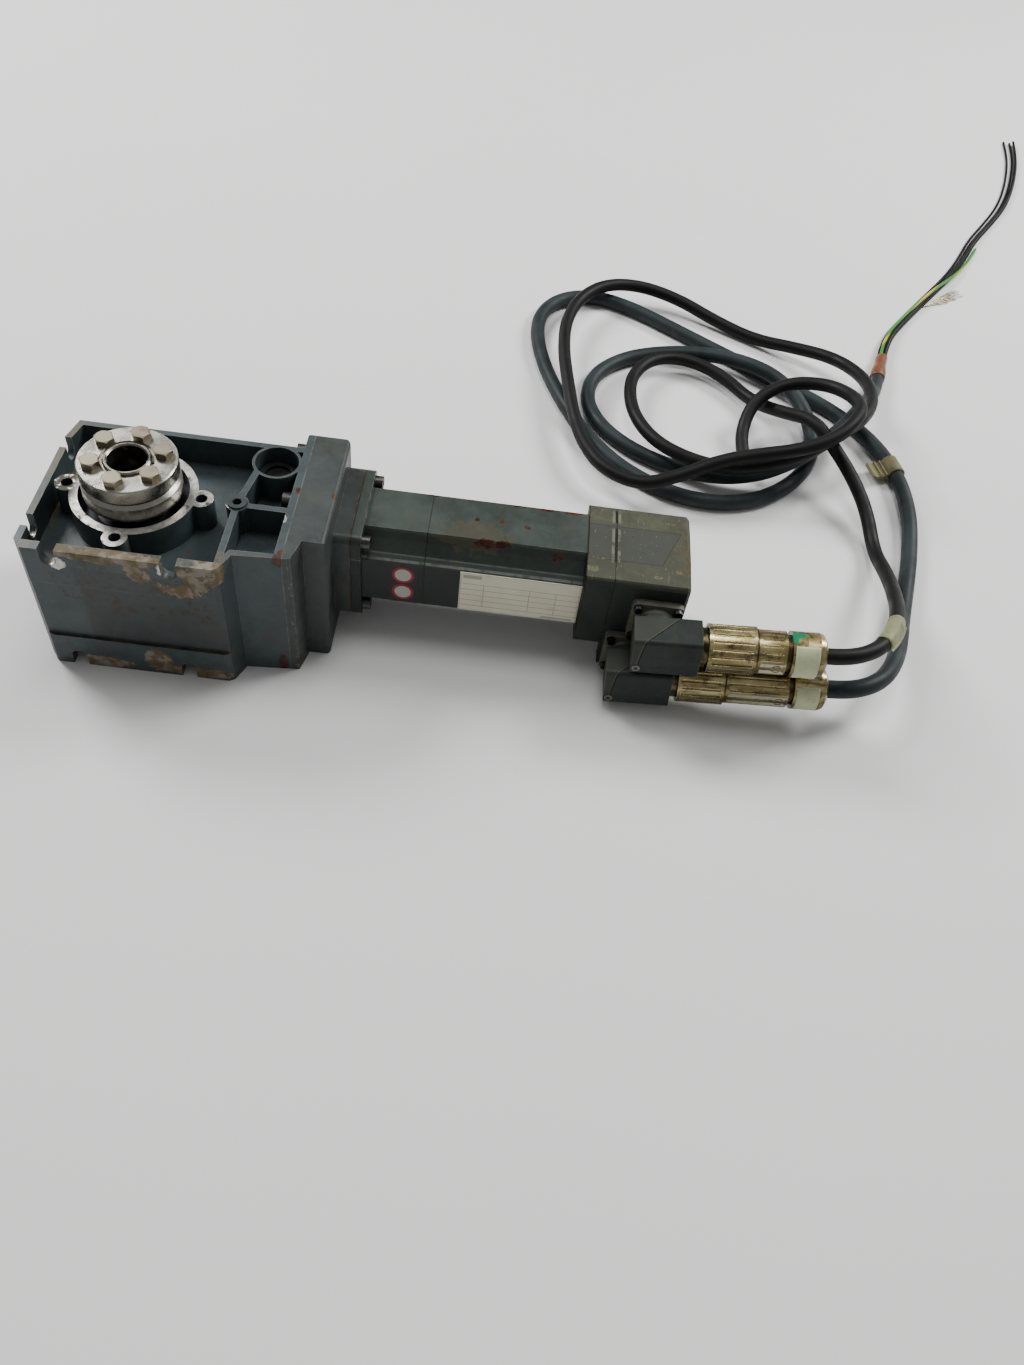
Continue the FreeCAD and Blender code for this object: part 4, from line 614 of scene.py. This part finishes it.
def add_grid(bm, rows, closed_u=False, closed_v=False):
    """Faces between rows of points; each row has as many points."""
    made = [[bm.verts.new(point) for point in row] for row in rows]
    across = len(made[0])
    for i in range(len(made) - (0 if closed_u else 1)):
        for j in range(across - (0 if closed_v else 1)):
            a, b = made[i], made[(i + 1) % len(made)]
            bm.faces.new((a[j], a[(j + 1) % across], b[(j + 1) % across], b[j]))
    return made


def add_bar(bm, rows):
    """Solid bar through closed rows of points, with a face at each end."""
    made = add_grid(bm, rows, closed_v=True)
    for ring in (made[0], made[-1]):
        bm.faces.new(ring)


def circle(place, along, radius, count):
    """Points round place's X axis."""
    turns = [math.tau * k / count for k in range(count)]
    return [place @ Vector((along, radius * math.cos(turn), radius * math.sin(turn))) for turn in turns]


def add_lathe(bm, profile, place, sides):
    """Solid of revolution about place's X axis from (along, radius) points, capped at both ends."""
    add_bar(bm, [circle(place, along, radius, sides) for along, radius in profile])


def curved_patch(name, place, radius, start, end, low, high, thickness, material):
    """Thin patch lying on a cylinder about place's X axis, from angle low to high (0 is +Y, 90 is +Z)."""
    steps_along, steps_round = 12, 24
    angles = [math.radians(low + (high - low) * k / steps_round) for k in range(steps_round + 1)]
    rows = []
    for i in range(steps_along + 1):
        along = start + (end - start) * i / steps_along
        outer, inner = [[place @ Vector((along, r * math.cos(a), r * math.sin(a))) for a in angles]
                        for r in (radius + thickness, radius)]
        rows.append(outer + inner[::-1])
    bm = bmesh.new()
    made = add_grid(bm, rows, closed_v=True)
    for ring in (made[0], made[-1]):
        for k in range(steps_round):
            bm.faces.new((ring[k], ring[k + 1], ring[-2 - k], ring[-1 - k]))
    mesh_object(name, bm, material)


# ---------------- cables

def route(points):
    return [Vector(point) * MM for point in points]


def cable(name, points, radius, material):
    """Smooth cable whose NURBS spline has the route's points as its control points."""
    curve = bpy.data.curves.new(name, "CURVE")
    curve.dimensions = "3D"
    curve.resolution_u = 10
    spline = curve.splines.new("NURBS")
    spline.points.add(len(points) - 1)
    for control, point in zip(spline.points, points):
        control.co = (*point, 1.0)
        control.radius = radius
    spline.order_u = 3
    spline.use_endpoint_u = True
    curve.materials.append(material)
    piece = new_piece(name, curve)
    line = bpy.data.meshes.new_from_object(piece)
    path = [Vector(v.co) for v in line.vertices]
    bpy.data.meshes.remove(line)
    curve.bevel_depth = 1.0
    curve.bevel_resolution = 7
    curve.use_fill_caps = True
    return piece, path


def beside(points, across, above, stray=0.0):
    """Route beside and above another, square to the power cable's end; its tip strays along X."""
    (x0, y0, _), (x1, y1, _) = POWER_ROUTE[-2:]
    far = math.hypot(x1 - x0, y1 - y0)
    straight = 5
    found = []
    for k, (x, y, z) in enumerate(points):
        aside = across + stray * (max(0, k - straight) / (len(points) - 1 - straight)) ** 1.5
        found.append((x + aside * (y1 - y0) / far, y - across * (x1 - x0) / far, z + above))
    return found


def lengths(path):
    total, found = 0.0, [0.0]
    for a, b in zip(path, path[1:]):
        total += (b - a).length
        found.append(total)
    return found


def nearest(path, point):
    """How far along a path its point nearest to a place is."""
    found = lengths(path)
    return found[min(range(len(path)), key=lambda k: (path[k] - point).length)]


def at_length(path, length):
    """Point and heading at a length along a path; past its end it goes straight on."""
    found = lengths(path)
    last = len(path) - 2
    k = next((k for k in range(last) if length <= found[k + 1]), last)
    heading = (path[k + 1] - path[k]).normalized()
    return path[k] + heading * (length - found[k]), heading


def sleeve(name, path, start, profile, material, waves=0.0):
    """Round sleeve along a path: profile is (length from start, radius); waves crumple it slightly."""
    folds, twist, beat = 5, 1.7 / MM, 0.9 / MM
    rows = []
    for along, radius in profile:
        place = place_at(*at_length(path, start + along))
        row = []
        for angle in [math.tau * k / SIDES for k in range(SIDES)]:
            r = radius * (1.0 + waves * math.sin(folds * angle + twist * along) * math.sin(beat * along))
            row.append(place @ Vector((0, r * math.cos(angle), r * math.sin(angle))))
        rows.append(row)
    bm = bmesh.new()
    add_grid(bm, rows, closed_v=True)
    return mesh_object(name, bm, material)


def flat_band(name, path, start, length, radius, reach, material):
    """Fold of a sleeve: a narrow flat band standing out below its outer side."""
    root, rim, steps = -radius + 0.2 * MM, -radius - reach, 10
    corners = ((root, -0.9 * MM), (rim, -0.7 * MM), (rim, -0.2 * MM), (root, 0.2 * MM))
    rows = []
    for k in range(steps + 1):
        place = place_at(*at_length(path, start + length * k / steps))
        rows.append([place @ Vector((0, y, z)) for y, z in corners])
    bm = bmesh.new()
    add_bar(bm, rows)
    return mesh_object(name, bm, material, smooth=False)


def label_on_feedback():
    """Sleeve label near the feedback plug, with the flat fold along its outer side."""
    start = nearest(feedback_path, Vector((450, -10.5, 8)) * MM)
    length = 31 * MM
    profile = [(0, FEEDBACK_R + 0.05 * MM), (0, FEEDBACK_R + 0.5 * MM)]
    profile += [(length * k / 16, FEEDBACK_R + (0.55 + 0.1 * (k % 2)) * MM) for k in range(1, 16)]
    profile += [(length, FEEDBACK_R + 0.5 * MM), (length, FEEDBACK_R + 0.05 * MM)]
    body = sleeve("label_sleeve_body", feedback_path, start, profile, olive_label, 0.012)
    fold = flat_band("label_sleeve_fold", feedback_path, start, length, FEEDBACK_R + 0.5 * MM, 1.6 * MM,
                     olive_label)
    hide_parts("label_sleeve")
    return [body, fold]


def tag_on_power():
    """Olive clip round the power cable: a band with a channelled flag on its inner side."""
    middle = nearest(power_path, Vector((505.5, 218, -41.6)) * MM)
    half = 8 * MM
    outer, inner = POWER_R + 1.4 * MM, POWER_R + 0.1 * MM
    profile = [(-half, inner), (-half, outer - 0.3 * MM), (-half + 0.4 * MM, outer), (half - 0.4 * MM, outer),
               (half, outer - 0.3 * MM), (half, inner)]
    band = sleeve("tag_band", power_path, middle, profile, olive)
    place = place_at(*at_length(power_path, middle))
    bm = bmesh.new()
    for low, high, down, up in ((6.2, 18.5, -1.7, 0.4), (7.4, 8.8, 0.4, 2.4), (11.8, 12.8, 0.4, 2.0),
                                (17.1, 18.5, 0.4, 1.6)):
        corners = [(low, down), (high, down), (high, up), (low, up)]
        add_bar(bm, [[place @ Vector((x, y * MM, z * MM)) for y, z in corners] for x in (-half, half)])
    flag = mesh_object("tag_flag", bm, olive, smooth=False)
    bevel = flag.modifiers.new("edges", "BEVEL")
    bevel.width, bevel.segments = 0.25 * MM, 2
    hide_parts("cable_tag")
    return [band, flag]


def shrink_on_power():
    """Brown heat shrink that narrows and wrinkles from the sheath to the bundle of conductors."""
    end = lengths(power_path)[-1]
    profile = [(-8, 5.8), (-8, 6.2), (-4, 6.28), (0, 6.28), (3, 6.2), (6, 5.8), (10, 5.1), (14, 4.9),
               (20, 4.85), (25.4, 4.8), (26, 4.5), (26, 0.05)]
    profile = [(along * MM, radius * MM) for along, radius in profile]
    body = sleeve("heat_shrink_body", power_path, end, profile, shrink_brown, 0.015)
    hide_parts("heat_shrink_sleeve")
    return [body]


def braid_tuft():
    """Frayed end of the screen, lying on the floor beside the bundle."""
    rnd = random.Random(7)
    bm = bmesh.new()
    root, tip = Vector((570.5, 461.5, -48.3)) * MM, Vector((612, 498, -48.5)) * MM
    wires, joints = 56, 6
    ahead = tip - root
    side = Vector((0, 0, 1)).cross(ahead).normalized()
    for _ in range(wires):
        spread, reach = rnd.uniform(-7.5, 5.5) * MM, rnd.uniform(0.5, 1.0)
        lift = rnd.uniform(0.0, 2.2) * MM
        points = []
        for t in [k / joints for k in range(joints + 1)]:
            sway = side * spread * t ** 1.4 + Vector((0, 0, lift * math.sin(math.pi * t)))
            points.append(root + ahead * reach * t + sway)
        add_wire(bm, points, 0.2 * MM)
    return mesh_object("screen_braid_tuft", bm, braid_metal)


def add_wire(bm, points, radius, sides=5):
    rows = []
    for before, point, after in zip(points[:1] + points, points, points[1:] + points[-1:]):
        rows.append(circle(place_at(point, after - before), 0, radius, sides))
    add_bar(bm, rows)


def copper_tips(paths):
    """Cut ends of the conductors: the copper strands just inside the insulation."""
    bm = bmesh.new()
    for path in paths:
        place = place_at(*at_length(path, lengths(path)[-1]))
        add_lathe(bm, [(-1 * MM, 0.7 * MM), (0.12 * MM, 0.7 * MM), (0.2 * MM, 0.45 * MM)], place, 16)
    return mesh_object("conductor_copper_tips", bm, plain_steel("cut_copper", (0.55, 0.26, 0.12)))


# ---------------- connectors' details

def plug_place(name, along):
    """Frame on a connector's axis: X towards the cable, Z up, at a distance from the socket's axis."""
    return place_at(SOCKETS[name] + PLUG_DIR * along, PLUG_DIR)


def plug_flat(name, length):
    """Flat field on the barrel's front, left blank, with a plain ring in it."""
    place = plug_place(name, PLUG_START + BARREL[name])
    bm = bmesh.new()
    near, far, half = -12.4 * MM, -13.15 * MM, 4.6 * MM
    corners = [(near, -half), (far, -half + 0.5 * MM), (far, half - 0.5 * MM), (near, half)]
    add_bar(bm, [[place @ Vector((x, y, z)) for y, z in corners] for x in (-length, -0.6 * MM)])
    mesh_object(name + "_plug_flat", bm, field_metal, smooth=False)
    centre = Vector((-5.4 * MM, far, 0))
    mesh_object(name + "_plug_ring", ring_on_front(place, centre, 2.7 * MM, 0.32 * MM), dark_hollow)


def ring_on_front(place, centre, radius, thickness):
    """Thin ring lying on a face that looks along -Y."""
    flatness, wire_sides = 0.6, 8
    rows = []
    for turn in [math.tau * k / SIDES for k in range(SIDES)]:
        out = Vector((math.cos(turn), 0, math.sin(turn)))
        row = []
        for roll in [math.tau * j / wire_sides for j in range(wire_sides)]:
            lift = Vector((0, -thickness * flatness * math.sin(roll), 0))
            row.append(place @ (centre + out * (radius + thickness * math.cos(roll)) + lift))
        rows.append(row)
    bm = bmesh.new()
    add_grid(bm, rows, closed_u=True, closed_v=True)
    return bm


def on_elbow(name, across, above):
    """Point on an elbow's flat front, in millimetres from the socket's axis."""
    socket = SOCKETS[name]
    return Vector((socket.x + across * MM, ELBOW_FRONT, socket.z + above * MM))


def elbow_screw(name):
    """Small screw sunk in the elbow's front; its recess and hexagon socket are painted shade, a dark disc
    round the head and a dark hexagon on it.
    """
    place = place_at(on_elbow(name, -9.6, -9.0), Vector((0, -1, 0)))
    bm = bmesh.new()
    # Painted shade: dark disc for the shaded recess and dark hexagon for the hexagon socket, standing proud.
    add_lathe(bm, [(-0.5 * MM, 3.3 * MM), (0.06 * MM, 3.3 * MM), (0.10 * MM, 2.9 * MM)], place, 32)
    add_lathe(bm, [(0.20 * MM, 1.45 * MM), (0.36 * MM, 1.45 * MM)], place, 6)
    mesh_object(name + "_elbow_screw_recess_shade", bm, dark_hollow, smooth=False)
    bm = bmesh.new()
    add_lathe(bm, [(-0.4 * MM, 2.6 * MM), (0.20 * MM, 2.6 * MM), (0.32 * MM, 2.35 * MM)], place, 32)
    mesh_object(name + "_elbow_screw", bm, screw_grey, smooth=False)


def elbow_mark(name):
    """Thin round casting mark beside the screw."""
    bm = ring_on_front(Matrix(), on_elbow(name, 3.2, -8.6), 2.5 * MM, 0.2 * MM)
    mesh_object(name + "_elbow_mark", bm, dark_hollow)


# ---------------- the pieces

camera()

sheath_grey = rubber("power_sheath_rubber", (0.021, 0.028, 0.029), (0.050, 0.058, 0.054))
sheath_black = rubber("feedback_sheath_rubber", (0.0045, 0.0045, 0.0042), (0.020, 0.018, 0.014), (0.45, 0.62))
core_black = rubber("core_insulation", (0.004, 0.004, 0.004), (0.02, 0.02, 0.018), (0.3, 0.45), 0.15)
core_green = striped_core()
olive = moulded("olive_plastic", (0.17, 0.15, 0.075), (0.07, 0.055, 0.03))
olive_label = moulded("olive_label", (0.22, 0.235, 0.115), (0.09, 0.09, 0.045), 0.6)
shrink_brown = moulded("brown_shrink", (0.17, 0.062, 0.022), (0.05, 0.02, 0.01), 0.45, (0.3, 0.45))
braid_metal = plain_steel("tinned_braid", (0.48, 0.44, 0.32), (0.3, 0.5), 0.5)

power_cable, power_path = cable("power_cable_sheath", route(POWER_ROUTE), POWER_R, sheath_grey)
feedback_cable, feedback_path = cable("feedback_cable_sheath", route(FEEDBACK_ROUTE), FEEDBACK_R,
                                      sheath_black)
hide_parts("power_cable")
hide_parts("feedback_cable")

label_pieces = label_on_feedback()
tag_pieces = tag_on_power()
shrink_pieces = shrink_on_power()
tuft = braid_tuft()

cores, core_paths = [], []
for number, place in enumerate(CORE_PLACES):
    core, core_path = cable(f"black_core_{number + 1}", route(beside(CORE_ROUTE, *place)), CORE_R, core_black)
    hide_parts("black_conductors")
    cores.append(core)
    core_paths.append(core_path)
earth, earth_path = cable("earth_core", route(EARTH_ROUTE), CORE_R, core_green)
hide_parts("earth_conductor")
tips = copper_tips(core_paths + [earth_path])

dark_hollow = moulded("dark_hollow", (0.006, 0.006, 0.006), amount=0.2)
field_metal = plain_steel("worn_field", (0.42, 0.40, 0.30), (0.3, 0.5), 0.6)
screw_grey = plain_steel("greased_screw", (0.16, 0.16, 0.145), (0.3, 0.5), 0.5)
screw_black = plain_steel("blackened_screw", (0.09, 0.09, 0.085), (0.3, 0.5), 0.5)
pale_film = moulded("pale_label", (0.50, 0.54, 0.34), (0.27, 0.28, 0.13), 0.4)

for connector, field_length in (("feedback", 15 * MM), ("power", 36 * MM)):
    plug_flat(connector, field_length)
    elbow_screw(connector)
    elbow_mark(connector)
for connector, label, end, low, high in (("feedback", "nut_label", 15.8 * MM, 112, 222),
                                         ("power", "power_nut_label", 15.4 * MM, 130, 205)):
    nut_place = plug_place(connector, PLUG_START + BARREL[connector] + NECK)
    curved_patch(label, nut_place, NUT_R + 0.05 * MM, 1.6 * MM, end, low, high, 0.15 * MM, pale_film)


# ---------------- materials on the CAD nodes

disc_steel = turned_steel("shrink_disc_steel", (0.46, 0.44, 0.39), 0.5, 0.55)
shaft_steel = turned_steel("shaft_steel", (0.28, 0.26, 0.22), 0.7, 0.3)
bolt_zinc = plain_steel("zinc_bolt", (0.25, 0.225, 0.165), (0.36, 0.48), 0.4, 0.15)
gear_steel = plain_steel("gear_steel", (0.42, 0.42, 0.43), (0.2, 0.32), 0.1)
bearing_steel = plain_steel("bearing_steel", (0.62, 0.62, 0.63), (0.12, 0.22), 0.05)
seal_black = rubber("seal_black", (0.006, 0.006, 0.006), (0.03, 0.03, 0.028), (0.3, 0.5), 0.15)
cap_black = rubber("cap_black", (0.008, 0.009, 0.009), (0.03, 0.028, 0.022))
iron = laminated("lamination_stack", (0.30, 0.30, 0.31))
magnet = plain_steel("magnet_nickel", (0.30, 0.30, 0.31))
plug_paint = moulded("oil_plug_paint", (0.034, 0.044, 0.046), (0.010, 0.009, 0.006), 0.4, (0.3, 0.45))

FINISHES = {
    housing_material(): ["gear_housing"],
    flange_material(): ["input_flange"],
    plug_paint: ["oil_plug"],
    motor_material(): ["motor_front_shield", "stator_housing"],
    cover_material(): ["rear_shield", "rear_cover"],
    socket_material(): ["feedback_socket_base", "power_socket_base"],
    elbow_material("feedback", 341.4): ["feedback_socket_elbow"],
    elbow_material("power", 330.1): ["power_socket_elbow"],
    disc_steel: ["shrink_disc_front_ring", "shrink_disc_rear_ring"],
    shaft_steel: ["hollow_output_shaft", "shrink_disc_sleeve"],
    bolt_zinc: ["shrink_disc_bolts"],
    screw_black: ["socket_screws", "rear_cover_screws", "motor_flange_screws", "input_flange_screws"],
    gear_steel: ["bevel_wheel", "bevel_pinion_shaft", "spur_wheel", "motor_pinion", "bevel_wheel_key",
                 "rotor_shaft"],
    bearing_steel: ["upper_output_bearing", "lower_output_bearing", "pinion_shaft_bearing_front",
                    "pinion_shaft_bearing_rear", "motor_bearing_front", "motor_bearing_rear"],
    seal_black: ["upper_output_seal", "lower_output_seal", "motor_shaft_seal"],
    cap_black: ["access_cap", "feedback_end_cap"],
    iron: ["stator_core", "rotor_core", "resolver_stator", "resolver_rotor"],
    wound_copper(): ["stator_winding"],
    magnet: ["rotor_magnets"],
    plate_material(): ["rating_plate"],
    sticker_material(): ["marking_label"],
    brass_nickel("feedback"): ["feedback_coupling_ring", "feedback_plug_body", "feedback_clamp_nut"],
    brass_nickel("power"): ["power_coupling_ring", "power_plug_body", "power_clamp_nut"],
    dark_hollow: ["feedback_contact_insert", "power_contact_insert"],
}
for finish, names in FINISHES.items():
    for name in names:
        slots = nodes[name].material_slots
        if not slots:
            nodes[name].data.materials.append(finish)
        for entry in slots:
            entry.material = finish


# ---------------- floor and light

def floor():
    bm = bmesh.new()
    corners = [(-6, -6), (6, -6), (6, 6), (-6, 6)]
    bm.faces.new([bm.verts.new((x, y, FLOOR)) for x, y in corners])
    mesh = bpy.data.meshes.new("floor")
    bm.to_mesh(mesh)
    bm.free()
    p = Paint("pale_floor")
    tone = p.mix(p.noise(3.0, 3.0), (0.80, 0.80, 0.79), (0.84, 0.84, 0.83))
    mesh.materials.append(p.finish(tone, 0.7))
    scene_object("floor", mesh)


def area_light(name, at, aim, size, power):
    data = bpy.data.lights.new(name, "AREA")
    data.shape, data.size, data.energy = "DISK", size, power
    lamp = scene_object(name, data)
    lamp.location = at
    lamp.rotation_euler = (Vector(aim) - Vector(at)).to_track_quat("-Z", "Y").to_euler()


def sky(strength):
    world = bpy.data.worlds.new("soft_white")
    world.use_nodes = True
    background = next(n for n in world.node_tree.nodes if n.type == "BACKGROUND")
    background.inputs["Color"].default_value = (1.0, 1.0, 1.0, 1.0)
    background.inputs["Strength"].default_value = strength
    bpy.context.scene.world = world


floor()
sky(0.25)
area_light("back_left", (-1.25, 1.15, 1.45), (0.20, 0.15, 0.0), 0.9, 48)
area_light("back_right", (1.75, 1.15, 1.45), (0.30, 0.15, 0.0), 0.9, 48)
area_light("overhead", (0.22, 0.35, 2.0), (0.22, 0.15, 0.0), 0.8, 14)

bpy.context.view_layer.update()
